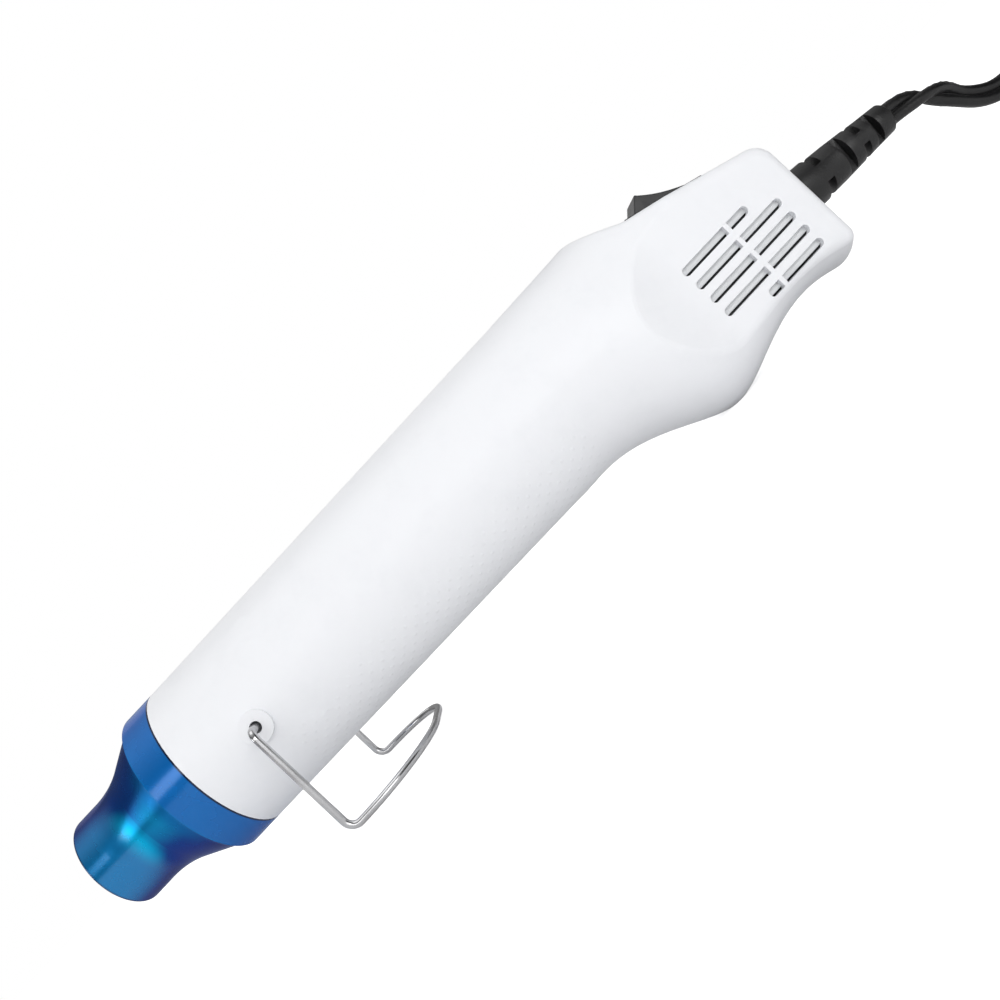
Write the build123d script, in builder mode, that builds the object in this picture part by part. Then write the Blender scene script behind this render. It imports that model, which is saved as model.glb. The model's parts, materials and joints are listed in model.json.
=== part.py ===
from build123d import *
import os
from math import cos, dist, pi, radians, sin, sqrt, tan

# Embossing heat tool, in millimetres. X runs from the nozzle towards the lead, Z is up,
# and the plane Y = 0 splits the case into its two halves. The origin lies on the table,
# in the middle of the tool's footprint. The tool lies as it is put down after use, on
# the foot of its wire stand and on the belly of its tail.

# Case, main sizes
body_length = 190.0
cap_length = 35.5
barrel_length = 104.0
barrel_front_r = 21.0
barrel_rear_r = 21.8
wall = 2.2
axis_height = 33.4
fit = 0.2
running_gap = 0.05
press_gap = 0.02
overrun = 30.0
plate = 1.0

os.makedirs("parts", exist_ok=True)

# Tail of the case: its cross-sections are two half ellipses that share their widest line.
# Each row gives a place along the tail, then the top, the widest line, the bottom and the
# half width, as shares of the tail's length and of the barrel's rear radius.
tail_station_shares = (
    (0.0, 1.0, 0.0, -1.0, 1.0),
    (0.058, 1.0, 0.0, -1.0, 1.0),
    (0.116, 1.0, 0.0, -1.0, 1.0),
    (0.256, 1.01, -0.06, -1.13, 1.01),
    (0.384, 1.02, -0.25, -1.38, 1.02),
    (0.49, 1.03, -0.42, -1.545, 1.01),
    (0.628, 1.0, -0.46, -1.42, 1.0),
    (0.767, 0.96, -0.5, -1.265, 1.0),
    (0.884, 0.92, -0.52, -1.26, 1.02),
    (0.942, 0.90, -0.52, -1.31, 1.04),
    (1.02, 0.88, -0.53, -1.40, 1.06),
)
# Flat cheeks of the tail: distance behind the seam and distance from the middle plane
cheek_start = (137.0, 23.2)
cheek_bend = (151.5, 17.7)
cheek_rear_half_width = 14.2
cheek_bend_r = 30.0
# Slope that carries the switch: distance behind the seam and height over the tool's axis
slope_start = (141.8, 23.9)
slope_bend = (155.6, 14.8)
slope_rear_height = 4.7
slope_bend_r = 7.0
tail_corner_r = 5.5
tail_edge_r = 2.6

# Wire stand
stand_wire_d = 1.8
stand_pivot = (18.4, -2.7)
stand_half_width = 26.5
stand_pin_inner = 15.0
stand_reach = 23.9
stand_loop_r = 21.2
stand_shoulder_r = 2.0
stand_ankle_r = 2.6
stand_hole_d = 2.8
stand_boss_d = 7.8
stand_boss_height = 0.7
stand_sleeve_d = 4.8

# Nozzle cap
cap_collar_length = 8.4
cap_step = 0.7
cap_cone_end = (18.0, 15.4)
cap_mouth_r = 12.75
cap_waist_end = 29.0
cap_wall = 1.8
cap_rim_r = 0.7
cap_spigot_length = 8.0
cap_groove = (3.4, 5.6)
cap_groove_depth = 1.0

# Air tube and heater
tube_r = 10.4
tube_wall = 0.5
tube_mouth_length = 12.6
tube_step = 0.3
tube_front = 33.6
tube_rear = 45.0
sleeve_wall = 0.3
sleeve_front = 20.0
former_front = 18.0
former_rear = 43.0
former_thickness = 0.8
former_shoulder = 3.0
winding_r = 6.7
winding_wire_d = 0.8
winding_turns = 11
winding_pitch = 4.2
winding_sides = 6
winding_former_gap = 0.15
cutout_r = 1.9
cutout_length = 11.0
cutout_at = 21.4

# Fan housing, fan and motor
housing_collar = (38.0, 47.0)
housing_wall = 1.4
housing_drum = (55.0, 73.0)
housing_drum_r = 16.9
housing_motor_ring = (76.0, 84.0)
housing_rib_width = 2.4
fan_r = 14.8
fan_at = 59.0
fan_length = 9.0
fan_hub_r = 3.6
fan_blades = 9
fan_blade_thickness = 0.9
fan_blade_pitch = 32.0
fan_blade_share = 0.9
motor_r = 13.85
motor_front = 76.0
motor_length = 28.0
motor_wall = 1.0
motor_boss_r = 3.6
motor_boss_length = 2.0
magnet_thickness = 2.2
magnet_length = 19.0
magnet_angle = 130.0
shaft_r = 1.15
bush_r = 2.6
bush_length = 2.6
armature_gap = 0.5
armature_length = 15.0
armature_slots = 3
commutator_r = 3.0
commutator_length = 4.0
end_cap_length = 3.2

# Circuit board
board_front = 112.0
board_length = 27.0
board_thickness = 1.6
board_drop = 9.0
diode_r = 1.4
diode_length = 5.2
diode_pitch = 5.2
capacitor_size = (13.0, 6.0, 10.0)

# Rocker switch
switch_at = 167.6
switch_bezel = (21.8, 15.0, 1.3)
switch_body = (20.0, 12.8, 12.0)
switch_wall = 1.1
bezel_taper = 25.0
rocker_width = 10.4
rocker_r = 9.5
rocker_pivot_drop = 2.4
rocker_pin_r = 1.2
rocker_front_rise = 5.7
rocker_rear_rise = 0.9
rocker_hollow = 0.7
rocker_gap = 0.3
rocker_keel = 2.2
terminal_size = (4.8, 0.8, 6.0)
terminal_pitch = 7.2

# Air slots: heights over the tool's axis, with the front end and the rear end of each
slot_width = 2.2
slot_pitch = 4.3
slot_top = -3.4
slot_ends = ((154.7, 175.9), (154.7, 182.6), (154.7, 182.6), (154.7, 182.6), (164.9, 182.6))
slot_bar_at = 169.4
slot_bar = 1.1
screen_thickness = 1.0
screen_gap = 0.3
screen_margin = 2.0

# Case screws: distance behind the seam and height over the axis
screw_places = ((30.0, 14.4), (30.0, -14.4), (133.0, 16.0), (146.0, -24.5))
screw_boss_r = 2.7
screw_shank_r = 1.3
screw_head_r = 2.3
screw_head_height = 1.6
screw_length = 15.0
screw_seat = 5.5
screw_gap = 0.25

# Ribs inside the halves that hold the fan housing, and the rails that hold the board
rib_thickness = 1.6
rib_places = (58.0, 68.0)
rib_half_height = 12.0
rail_size = (6.0, 3.4, 1.4)

# Strain relief and lead
relief_height = -10.1
relief_droop = 5.0
relief_r = 5.9
relief_collar = 10.4
relief_length = 31.5
relief_step = 0.4
relief_end_r = 3.9
relief_end_bevel = 0.8
relief_neck_r = 4.4
relief_flange_r = 6.6
relief_flange = 2.0
relief_notches = ((10.4, 13.0), (15.5, 17.8), (21.2, 23.1), (25.2, 27.3))
relief_web_share = 0.52
clamp_size = (6.0, 15.0, 2.4)
clamp_at = 180.0
clamp_screw_spacing = 10.6
clamp_screw_r = 1.0
clamp_post_hole = 6.0
clamp_head_r = 1.9
clamp_head_height = 1.3
lead_core_d = 2.0
heater_lead_d = 1.6
heater_lead_bend = 6.0
lead_inner_length = 12.0
cord_d = 5.8
cord_sides = 8
core_sides = 8
coil_turn_pitch = 6.5
coil_layer_turns = 2
coil_mid_r = 29.5
coil_layer_rises = (6.5, 6.5, 10.7)
tie_thickness = 0.6
tie_width = 4.0
tie_gap = 0.2
coil_centre = (238.0, -11.5)
tail_lead = 3.0
coil_steps = 2
route_share = 0.45

# Plug
plug_relief_length = 12.0
plug_relief_r = (3.4, 5.0)
plug_body = (24.0, 23.0)
plug_thickness = 15.2
plug_back_share = 0.8
plug_back_r = 3.5
plug_face = 5.0
blade_size = (17.8, 1.5, 6.35)
blade_spacing = 12.7
blade_root = 3.0
blade_hole_d = 3.0

# Derived places. The tool's axis lies over the origin at axis_height.
seam_x = (cap_length - body_length) / 2
tail_length = body_length - barrel_length
tool_axis = Axis((seam_x, 0, axis_height), (1, 0, 0))
side = Plane(origin=(seam_x, 0, axis_height), x_dir=(1, 0, 0), z_dir=(0, -1, 0))
level = Plane(origin=(seam_x, 0, axis_height), x_dir=(1, 0, 0), z_dir=(0, 0, 1))
bore_r = barrel_front_r - wall
board_half_width = sqrt((barrel_rear_r - wall - fit) ** 2 - board_drop**2)
screen_depth = cheek_rear_half_width - wall - screen_gap - screen_thickness - plate
slope_angle = (slope_bend[1] - slope_rear_height) / (body_length - slope_bend[0])


def across(distance):
    """Plane square to the tool's axis, at a distance behind the seam."""
    return Plane(origin=(seam_x + distance, 0, axis_height), x_dir=(0, 1, 0), z_dir=(1, 0, 0))


def barrel_r(distance):
    """Outer radius of the tapered barrel at a distance behind the seam."""
    return barrel_front_r + (barrel_rear_r - barrel_front_r) * distance / barrel_length


def cheek_y(distance):
    """Half width of the tail between its flat cheeks at a distance behind the seam."""
    narrowing = (cheek_bend[1] - cheek_rear_half_width) / (body_length - cheek_bend[0])
    return cheek_bend[1] - narrowing * (distance - cheek_bend[0])


def slope_height(distance):
    """Height of the switch slope over the tool's axis."""
    return slope_bend[1] - slope_angle * (distance - slope_bend[0])


def case_form(inset):
    """Solid shape of the closed case, drawn in by an inset on every side."""
    with BuildPart() as form:
        with BuildSketch(across(0)):
            Circle(barrel_front_r - inset)
        with BuildSketch(across(barrel_length)):
            Circle(barrel_rear_r - inset)
        loft(ruled=True)
        for along, top, middle, bottom, half_width in tail_station_shares:
            with BuildSketch(across(barrel_length + along * tail_length)):
                with BuildLine():
                    centre = (0, middle * barrel_rear_r)
                    wide = half_width * barrel_rear_r - inset
                    up = (top - middle) * barrel_rear_r - inset
                    down = (middle - bottom) * barrel_rear_r - inset
                    EllipticalCenterArc(centre, wide, up, start_angle=0, arc_size=180)
                    EllipticalCenterArc(centre, wide, down, start_angle=180, arc_size=180)
                make_face()
        loft()
        beyond = body_length + overrun
        with BuildSketch(level.offset(-axis_height - overrun)):
            with BuildLine():
                cheek_slope = (cheek_bend[1] - cheek_rear_half_width) / (body_length - cheek_bend[0])
                cheek = FilletPolyline(
                    (cheek_start[0], cheek_start[1] - inset),
                    (cheek_bend[0], cheek_bend[1] - inset),
                    (beyond, cheek_rear_half_width - cheek_slope * overrun - inset),
                    radius=cheek_bend_r,
                )
                far = cheek_start[1] + overrun
                Polyline(cheek @ 1, (beyond, far), (cheek_start[0], far), cheek @ 0)
            make_face()
            mirror(about=Plane.XZ)
        extrude(amount=2 * axis_height + 2 * overrun, mode=Mode.SUBTRACT)
        with BuildSketch(side.offset(-barrel_rear_r - overrun)):
            with BuildLine():
                rear = body_length - inset
                slope = FilletPolyline(
                    (slope_start[0], slope_start[1] - inset),
                    (slope_bend[0], slope_bend[1] - inset),
                    (rear, slope_height(rear) - inset),
                    (rear, -axis_height - overrun),
                    radius=(slope_bend_r, tail_corner_r),
                )
                Polyline(
                    slope @ 1,
                    (beyond, -axis_height - overrun),
                    (beyond, axis_height + overrun),
                    (slope_start[0], axis_height + overrun),
                    slope @ 0,
                )
            make_face()
        extrude(amount=2 * barrel_rear_r + 2 * overrun, mode=Mode.SUBTRACT)
        with BuildSketch(level.offset(inset - axis_height)):
            Rectangle(2 * beyond, 2 * beyond)
        extrude(amount=-overrun, mode=Mode.SUBTRACT)
    return form


# Case halves
switch_plane = Plane(
    origin=(seam_x + switch_at, 0, axis_height + slope_height(switch_at)),
    x_dir=(1, 0, -slope_angle),
    z_dir=(slope_angle, 0, 1),
)
with BuildPart() as case_outer:
    add(case_form(0).part)
    tail_edges = case_outer.edges().filter_by_position(
        Axis.X, seam_x + cheek_start[0] - cheek_bend_r / 2, seam_x + body_length + overrun
    )
    fillet(tail_edges, tail_edge_r)
case_cavity = case_form(wall)


with BuildPart() as case_ribs:
    # Ribs for the fan housing, left open at the top and the bottom for the heater leads
    for place in rib_places:
        with BuildSketch(across(place)):
            Circle(barrel_r(place) - wall / 2)
            Circle(housing_drum_r + fit, mode=Mode.SUBTRACT)
            Rectangle(2 * barrel_rear_r, 2 * rib_half_height, mode=Mode.INTERSECT)
        extrude(amount=rib_thickness)
    # Lip that holds the nozzle cap by its groove
    with BuildSketch(across(cap_groove[0] + fit)):
        Circle(bore_r + wall / 2)
        Circle(bore_r - cap_groove_depth + fit, mode=Mode.SUBTRACT)
    extrude(amount=cap_groove[1] - cap_groove[0] - 2 * fit)
    # Sleeves that guide the stand's pins
    with BuildSketch(side.offset(stand_pin_inner - wall)):
        with Locations(stand_pivot):
            Circle(stand_sleeve_d / 2)
    extrude(amount=barrel_r(stand_pivot[0]) - stand_pin_inner)
    mirror(about=Plane.XZ)
    # Rails under the circuit board
    with BuildSketch(level.offset(-board_drop - rail_size[2] - fit)):
        for place in (board_front, board_front + board_length - rail_size[0]):
            with Locations((place + rail_size[0] / 2, 0)):
                Rectangle(rail_size[0], 2 * barrel_rear_r)
                Rectangle(rail_size[0], 2 * (board_half_width - rail_size[1]), mode=Mode.SUBTRACT)
    extrude(amount=rail_size[2])
    # Screw bosses
    with BuildSketch(side.offset(-overrun)):
        with Locations(*screw_places):
            Circle(screw_boss_r)
    extrude(amount=2 * overrun)
    # Post under the lead, with a trough that the lead lies in
    with BuildSketch(side.offset(-clamp_size[1] / 2)):
        with Locations((clamp_at, relief_height + cord_d / 2 - fit - axis_height / 2)):
            Rectangle(clamp_size[0], axis_height)
    extrude(amount=clamp_size[1])
    with BuildSketch(across(clamp_at - clamp_size[0])):
        with Locations((0, relief_height)):
            Circle(cord_d / 2)
    extrude(amount=2 * clamp_size[0], mode=Mode.SUBTRACT)
    with BuildSketch(level.offset(relief_height - clamp_post_hole)):
        with Locations((clamp_at, clamp_screw_spacing / 2), (clamp_at, -clamp_screw_spacing / 2)):
            Circle(clamp_screw_r)
    extrude(amount=overrun, mode=Mode.SUBTRACT)
    add(case_outer.part, mode=Mode.INTERSECT)


def case_half(hand):
    """One half of the case. Hand is -1 for the left half and 1 for the right half."""
    with BuildPart() as half:
        add(case_outer.part)
        # Raised ring round the stand's hole
        with BuildSketch(side.offset(-hand * stand_pin_inner)):
            with Locations(stand_pivot):
                Circle(stand_boss_d / 2)
        boss_end = barrel_r(stand_pivot[0]) + stand_boss_height
        extrude(amount=-hand * (boss_end - stand_pin_inner))
        add(case_cavity.part, mode=Mode.SUBTRACT)
        # Bore behind the seam, which the nozzle cap's spigot fills
        with BuildSketch(across(0)):
            Circle(bore_r)
        extrude(amount=cap_spigot_length + fit, mode=Mode.SUBTRACT)
        add(case_ribs.part)
        # Hole for the stand's pin
        with BuildSketch(side.offset(-hand * (stand_pin_inner - plate))):
            with Locations(stand_pivot):
                Circle(stand_hole_d / 2)
        extrude(amount=-hand * overrun, mode=Mode.SUBTRACT)
        # Air slots, each crossed by one bar
        with BuildSketch(side.offset(-hand * screen_depth)):
            for row, (front, rear) in enumerate(slot_ends):
                with Locations(((front + rear) / 2, slot_top - row * slot_pitch)):
                    SlotOverall(rear - front, slot_width)
            with Locations((slot_bar_at, slot_top - 2 * slot_pitch)):
                Rectangle(slot_bar, 2 * len(slot_ends) * slot_pitch, mode=Mode.SUBTRACT)
        extrude(amount=-hand * overrun, mode=Mode.SUBTRACT)
        # Opening for the switch
        with BuildSketch(switch_plane.offset(-wall - overrun / 5)):
            Rectangle(switch_body[0] + 2 * fit, switch_body[1] + 2 * fit)
        extrude(amount=overrun, mode=Mode.SUBTRACT)
        # Hole for the strain relief's neck
        with BuildSketch(across(body_length - 2 * wall)):
            with Locations((0, relief_height)):
                Circle(relief_neck_r + fit)
        extrude(amount=overrun, mode=Mode.SUBTRACT)
        # Screw holes: pilot holes in the left bosses, clearance and head seats in the right ones
        with BuildSketch(side):
            with Locations(*screw_places):
                Circle(screw_shank_r + screw_gap * (hand > 0))
        extrude(amount=-hand * (screw_length - screw_seat + plate), mode=Mode.SUBTRACT)
        if hand > 0:
            with BuildSketch(side.offset(-screw_seat)):
                with Locations(*screw_places):
                    Circle(screw_head_r + screw_gap)
            extrude(amount=-overrun, mode=Mode.SUBTRACT)
        split(bisect_by=Plane.XZ, keep=Keep.BOTTOM if hand > 0 else Keep.TOP)
    return half


left_shell = case_half(-1)
left_shell.part.label = "left_shell"
export_step(left_shell.part, "parts/left_shell.step")

right_shell = case_half(1)
right_shell.part.label = "right_shell"
export_step(right_shell.part, "parts/right_shell.step")

with BuildPart() as case_screws:
    with BuildSketch(side.offset(-screw_seat)):
        with Locations(*screw_places):
            Circle(screw_shank_r - running_gap)
    extrude(amount=screw_length)
    with BuildSketch(side.offset(-screw_seat)):
        with Locations(*screw_places):
            Circle(screw_head_r)
    extrude(amount=-screw_head_height)
    with BuildSketch(side.offset(-screw_seat - screw_head_height)):
        with Locations(*screw_places):
            Rectangle(2 * screw_shank_r, screw_head_height / 3)
            Rectangle(screw_head_height / 3, 2 * screw_shank_r)
    extrude(amount=screw_head_height / 2, mode=Mode.SUBTRACT)
case_screws.part.label = "case_screws"
export_step(case_screws.part, "parts/case_screws.step")


# Nozzle cap: a round collar, a cone that curves into a narrow mouth, and a grooved spigot
def cap_line(inset):
    """Outline of the nozzle cap from the collar to the mouth, drawn in by an inset."""
    cone = Line(
        (-cap_collar_length, barrel_front_r - cap_step - inset),
        (-cap_cone_end[0], cap_cone_end[1] - inset),
    )
    waist = TangentArc(cone @ 1, (-cap_waist_end, cap_mouth_r - inset), tangent=cone % 1)
    return cone, waist


with BuildPart() as nozzle_cap:
    with BuildSketch(side):
        with BuildLine():
            cone, waist = cap_line(0)
            Polyline((0, 0), (0, barrel_front_r), (-cap_collar_length, barrel_front_r), cone @ 0)
            Polyline(waist @ 1, (-cap_length, cap_mouth_r), (-cap_length, 0), (0, 0))
        make_face()
    revolve(axis=tool_axis)
    fillet(nozzle_cap.edges().group_by(Axis.X)[0], cap_rim_r)
    with BuildSketch(across(0)):
        Circle(bore_r - fit)
    extrude(amount=cap_spigot_length)
    with BuildSketch(across(cap_groove[0])):
        Circle(bore_r)
        Circle(bore_r - cap_groove_depth - fit, mode=Mode.SUBTRACT)
    extrude(amount=cap_groove[1] - cap_groove[0], mode=Mode.SUBTRACT)
    # Inside: wide behind the cone, and narrow at the mouth, where it holds the air tube
    with BuildSketch(side):
        with BuildLine():
            cone, waist = cap_line(cap_wall)
            inner_r = bore_r - fit - cap_groove_depth - cap_wall
            behind = cap_spigot_length + overrun
            Polyline((behind, 0), (behind, inner_r), (-cap_collar_length / 2, inner_r), cone @ 0)
            Polyline(waist @ 1, (-cap_waist_end, 0), (behind, 0))
        make_face()
    revolve(axis=tool_axis, mode=Mode.SUBTRACT)
    with BuildSketch(across(-cap_length - overrun)):
        Circle(tube_r + fit)
    extrude(amount=2 * overrun, mode=Mode.SUBTRACT)
nozzle_cap.part.label = "nozzle_cap"
export_step(nozzle_cap.part, "parts/nozzle_cap.step")


def ring(front, rear, outer_r, inner_r):
    """Plain tube on the tool's axis between two places behind the seam."""
    with BuildPart() as tube:
        with BuildSketch(across(front)):
            Circle(outer_r)
            Circle(inner_r, mode=Mode.SUBTRACT)
        extrude(amount=rear - front)
    return tube


# Air tube: its bore is wider at the mouth, where a push-in nozzle stops against the step
narrow_r = tube_r - tube_wall - tube_step
with BuildPart() as heat_tube:
    add(ring(-tube_front, tube_rear, tube_r, narrow_r).part)
    with BuildSketch(across(-tube_front)):
        Circle(narrow_r + tube_step)
    extrude(amount=tube_mouth_length, mode=Mode.SUBTRACT)
heat_tube.part.label = "heat_tube"
export_step(heat_tube.part, "parts/heat_tube.step")

sleeve_r = narrow_r - fit / 2
mica_sleeve = ring(-sleeve_front, tube_rear - plate, sleeve_r, sleeve_r - sleeve_wall)
mica_sleeve.part.label = "mica_sleeve"
export_step(mica_sleeve.part, "parts/mica_sleeve.step")

# Crossed mica boards, full width at both ends and narrow where the heating wire is wound
former_half_width = winding_r - winding_wire_d / 2 - winding_former_gap
with BuildPart() as mica_former:
    with BuildSketch(across(-former_front)):
        Rectangle(2 * former_half_width, former_thickness)
        Rectangle(former_thickness, 2 * former_half_width)
    extrude(amount=former_front + former_rear)
    for place in (-former_front, former_rear - former_shoulder):
        with BuildSketch(across(place)):
            Rectangle(2 * (sleeve_r - sleeve_wall - fit), former_thickness)
            Rectangle(former_thickness, 2 * (sleeve_r - sleeve_wall - fit))
        extrude(amount=former_shoulder)
mica_former.part.label = "mica_former"
export_step(mica_former.part, "parts/mica_former.step")


def biarc(start, start_way, end, end_way):
    """Two arcs that leave one point and reach another in the given directions."""
    chord = end - start
    both = start_way + end_way
    spread = 2 * (1 - start_way.dot(end_way))
    reach = (-chord.dot(both) + sqrt(chord.dot(both) ** 2 + spread * chord.dot(chord))) / spread
    middle = (start + start_way * reach + end - end_way * reach) / 2
    first = TangentArc(start, middle, tangent=start_way)
    TangentArc(middle, end, tangent=first % 1)


def wind(place, turns, steps_per_turn, straight):
    """Wound path of biarcs between points of a formula, with a straight run at each end.

    It gives the path, its start and its first direction, and its end and its last direction.
    """
    nudge = 1 / 1000
    count = round(turns * steps_per_turn)
    marks = [step / steps_per_turn for step in range(count + 1)]
    points = [place(mark) for mark in marks]
    ways = []
    for mark in marks:
        ways.append((place(mark + nudge) - place(mark - nudge)).normalized())
    with BuildLine() as path:
        Line(points[0] - ways[0] * straight, points[0])
        for first in range(count):
            biarc(points[first], ways[first], points[first + 1], ways[first + 1])
        Line(points[-1], points[-1] + ways[-1] * straight)
    return path, points[0] - ways[0] * straight, ways[0], points[-1] + ways[-1] * straight, ways[-1]


def tube_along(path, start, way, diameter, sides):
    """Tube with a many-sided section, swept along a path."""
    with BuildPart() as tube:
        with BuildSketch(Plane(origin=start, z_dir=way)):
            RegularPolygon(diameter / 2, sides)
        sweep(path=path.line)
    return tube


def self_gap(path, diameter, turn_length):
    """Least gap between the turns of a wound tube, measured on points along its path."""
    wire = path.wire()
    count = 600
    points = [tuple(wire @ (step / count)) for step in range(count + 1)]
    apart = round(turn_length / 2 / (wire.length / count))
    least = wire.length
    for first in range(count + 1):
        for second in range(first + apart, count + 1):
            least = min(least, dist(points[first], points[second]))
    return least - diameter


def heater_place(mark):
    """Point of the heating wire after a number of turns."""
    angle = 2 * pi * mark
    middle = (former_rear - former_front) / 2
    along = middle + (mark - winding_turns / 2) * winding_pitch
    return Vector(
        seam_x + along,
        winding_r * cos(angle),
        axis_height + winding_r * sin(angle),
    )


heater_path, heater_start, heater_way, _, _ = wind(
    heater_place, winding_turns, coil_steps, winding_wire_d
)
heater_coil = tube_along(heater_path, heater_start, heater_way, winding_wire_d, winding_sides)
heater_coil.part.label = "heater_coil"
export_step(heater_coil.part, "parts/heater_coil.step")
print("heater coil, least gap", round(self_gap(heater_path, winding_wire_d, 2 * pi * winding_r), 2))

with BuildPart() as thermal_cutout:
    with BuildSketch(across(cutout_at)):
        with Locations((tube_r + cutout_r + fit / 2, 0)):
            Circle(cutout_r)
    extrude(amount=cutout_length)
    chamfer(thermal_cutout.edges().filter_by(GeomType.CIRCLE), cutout_r / 4)
thermal_cutout.part.label = "thermal_cutout"
export_step(thermal_cutout.part, "parts/thermal_cutout.step")

# Fan housing: collar on the air tube, funnel, drum round the fan, and a ring for the motor
with BuildPart() as fan_housing:
    with BuildSketch(side):
        with BuildLine():
            collar_r = tube_r + fit / 2
            drum_r = housing_drum_r - housing_wall
            Polyline(
                (housing_collar[0], collar_r),
                (housing_collar[0], collar_r + housing_wall),
                (housing_collar[1], collar_r + housing_wall),
                (housing_drum[0], housing_drum_r),
                (housing_drum[1], housing_drum_r),
                (housing_drum[1], drum_r),
                (housing_drum[0], drum_r),
                (housing_collar[1], collar_r),
                close=True,
            )
        make_face()
    revolve(axis=tool_axis)
    with BuildSketch(across(housing_motor_ring[0])):
        Circle(motor_r + fit / 2 + housing_wall)
    extrude(amount=housing_motor_ring[1] - housing_motor_ring[0])
    with BuildSketch(across(housing_drum[1] - plate * 2)):
        with PolarLocations(drum_r, 4, start_angle=45):
            Rectangle(2 * housing_wall + plate, housing_rib_width)
    extrude(amount=housing_motor_ring[1] - housing_drum[1] + plate * 2)
    with BuildSketch(across(motor_front)):
        Circle(motor_r + fit / 2)
    extrude(amount=overrun, mode=Mode.SUBTRACT)
fan_housing.part.label = "fan_housing"
export_step(fan_housing.part, "parts/fan_housing.step")

# Motor: can, end cap, magnets and bushes
with BuildPart() as motor_can:
    with BuildSketch(across(motor_front)):
        Circle(motor_r)
    extrude(amount=motor_length)
    with BuildSketch(across(motor_front - motor_boss_length)):
        Circle(motor_boss_r)
    extrude(amount=motor_boss_length + motor_wall)
    with BuildSketch(across(motor_front + motor_wall)):
        Circle(motor_r - motor_wall)
    extrude(amount=motor_length, mode=Mode.SUBTRACT)
    with BuildSketch(across(motor_front - overrun)):
        Circle(bush_r + press_gap)
    extrude(amount=2 * overrun, mode=Mode.SUBTRACT)
motor_can.part.label = "motor_can"
export_step(motor_can.part, "parts/motor_can.step")

motor_rear = motor_front + motor_length
with BuildPart() as motor_end_cap:
    with BuildSketch(across(motor_rear)):
        Circle(motor_r)
    extrude(amount=end_cap_length)
    with BuildSketch(across(motor_rear + end_cap_length)):
        Circle(motor_boss_r)
    extrude(amount=motor_boss_length)
    with BuildSketch(across(motor_rear)):
        Circle(bush_r + press_gap)
    extrude(amount=end_cap_length + motor_boss_length, mode=Mode.SUBTRACT)
    with BuildSketch(across(motor_rear + end_cap_length)):
        with Locations((0, motor_r * 2 / 3), (0, -motor_r * 2 / 3)):
            Rectangle(terminal_size[0] / 2, terminal_size[1])
    extrude(amount=terminal_size[2] / 2)
motor_end_cap.part.label = "motor_end_cap"
export_step(motor_end_cap.part, "parts/motor_end_cap.step")

magnet_outer_r = motor_r - motor_wall - fit / 2
with BuildPart() as motor_magnets:
    with BuildSketch(across(motor_front + (motor_length - magnet_length) / 2)):
        Circle(magnet_outer_r)
        Circle(magnet_outer_r - magnet_thickness, mode=Mode.SUBTRACT)
        Rectangle(
            2 * magnet_outer_r,
            2 * (magnet_outer_r - magnet_thickness) * sin(radians(magnet_angle / 2)),
            mode=Mode.INTERSECT,
        )
    extrude(amount=magnet_length)
motor_magnets.part.label = "motor_magnets"
export_step(motor_magnets.part, "parts/motor_magnets.step")

rear_bush = motor_rear + end_cap_length + motor_boss_length - bush_length
bush_places = (motor_front - motor_boss_length, rear_bush)
with BuildPart() as motor_bushes:
    for place in bush_places:
        with BuildSketch(across(place)):
            Circle(bush_r)
            Circle(shaft_r + running_gap, mode=Mode.SUBTRACT)
        extrude(amount=bush_length)
motor_bushes.part.label = "motor_bushes"
export_step(motor_bushes.part, "parts/motor_bushes.step")

# Rotor: shaft, armature, commutator and fan wheel
with BuildPart() as motor_shaft:
    with BuildSketch(across(fan_at - plate)):
        Circle(shaft_r)
    extrude(amount=motor_rear + end_cap_length + motor_boss_length - fan_at + 2 * plate)
motor_shaft.part.label = "motor_shaft"
export_step(motor_shaft.part, "parts/motor_shaft.step")

armature_r = magnet_outer_r - magnet_thickness - armature_gap
with BuildPart() as armature:
    with BuildSketch(across(motor_front + (motor_length - armature_length) / 2)):
        Circle(armature_r)
        Circle(shaft_r + press_gap, mode=Mode.SUBTRACT)
        with PolarLocations(armature_r / 2 + armature_r / 6, armature_slots, start_angle=90):
            SlotOverall(armature_r / 2, armature_r / 3, rotation=90, mode=Mode.SUBTRACT)
        with PolarLocations(armature_r, armature_slots, start_angle=90):
            Rectangle(armature_r / 2, armature_r / 8, mode=Mode.SUBTRACT)
    extrude(amount=armature_length)
armature.part.label = "armature"
export_step(armature.part, "parts/armature.step")

commutator = ring(
    motor_rear - commutator_length - plate,
    motor_rear - plate,
    commutator_r,
    shaft_r + press_gap,
)
commutator.part.label = "commutator"
export_step(commutator.part, "parts/commutator.step")

with BuildPart() as fan_wheel:
    with BuildSketch(across(fan_at)):
        Circle(fan_hub_r)
    extrude(amount=fan_length)
    for turn in range(fan_blades):
        blade_plane = Plane(
            origin=(seam_x + fan_at + fan_length / 2, 0, axis_height),
            x_dir=(1, 0, 0),
            z_dir=(0, cos(2 * pi * turn / fan_blades), sin(2 * pi * turn / fan_blades)),
        )
        with BuildSketch(blade_plane.offset(fan_hub_r / 2)):
            Rectangle(
                (fan_length - fan_blade_thickness) / cos(radians(fan_blade_pitch)) * fan_blade_share,
                fan_blade_thickness,
                rotation=fan_blade_pitch,
            )
        extrude(amount=fan_r - fan_hub_r / 2)
    with BuildSketch(across(fan_at)):
        Circle(fan_r)
    extrude(amount=fan_length, mode=Mode.INTERSECT)
    with BuildSketch(across(fan_at)):
        Circle(shaft_r + press_gap)
    extrude(amount=fan_length, mode=Mode.SUBTRACT)
fan_wheel.part.label = "fan_wheel"
export_step(fan_wheel.part, "parts/fan_wheel.step")

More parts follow.
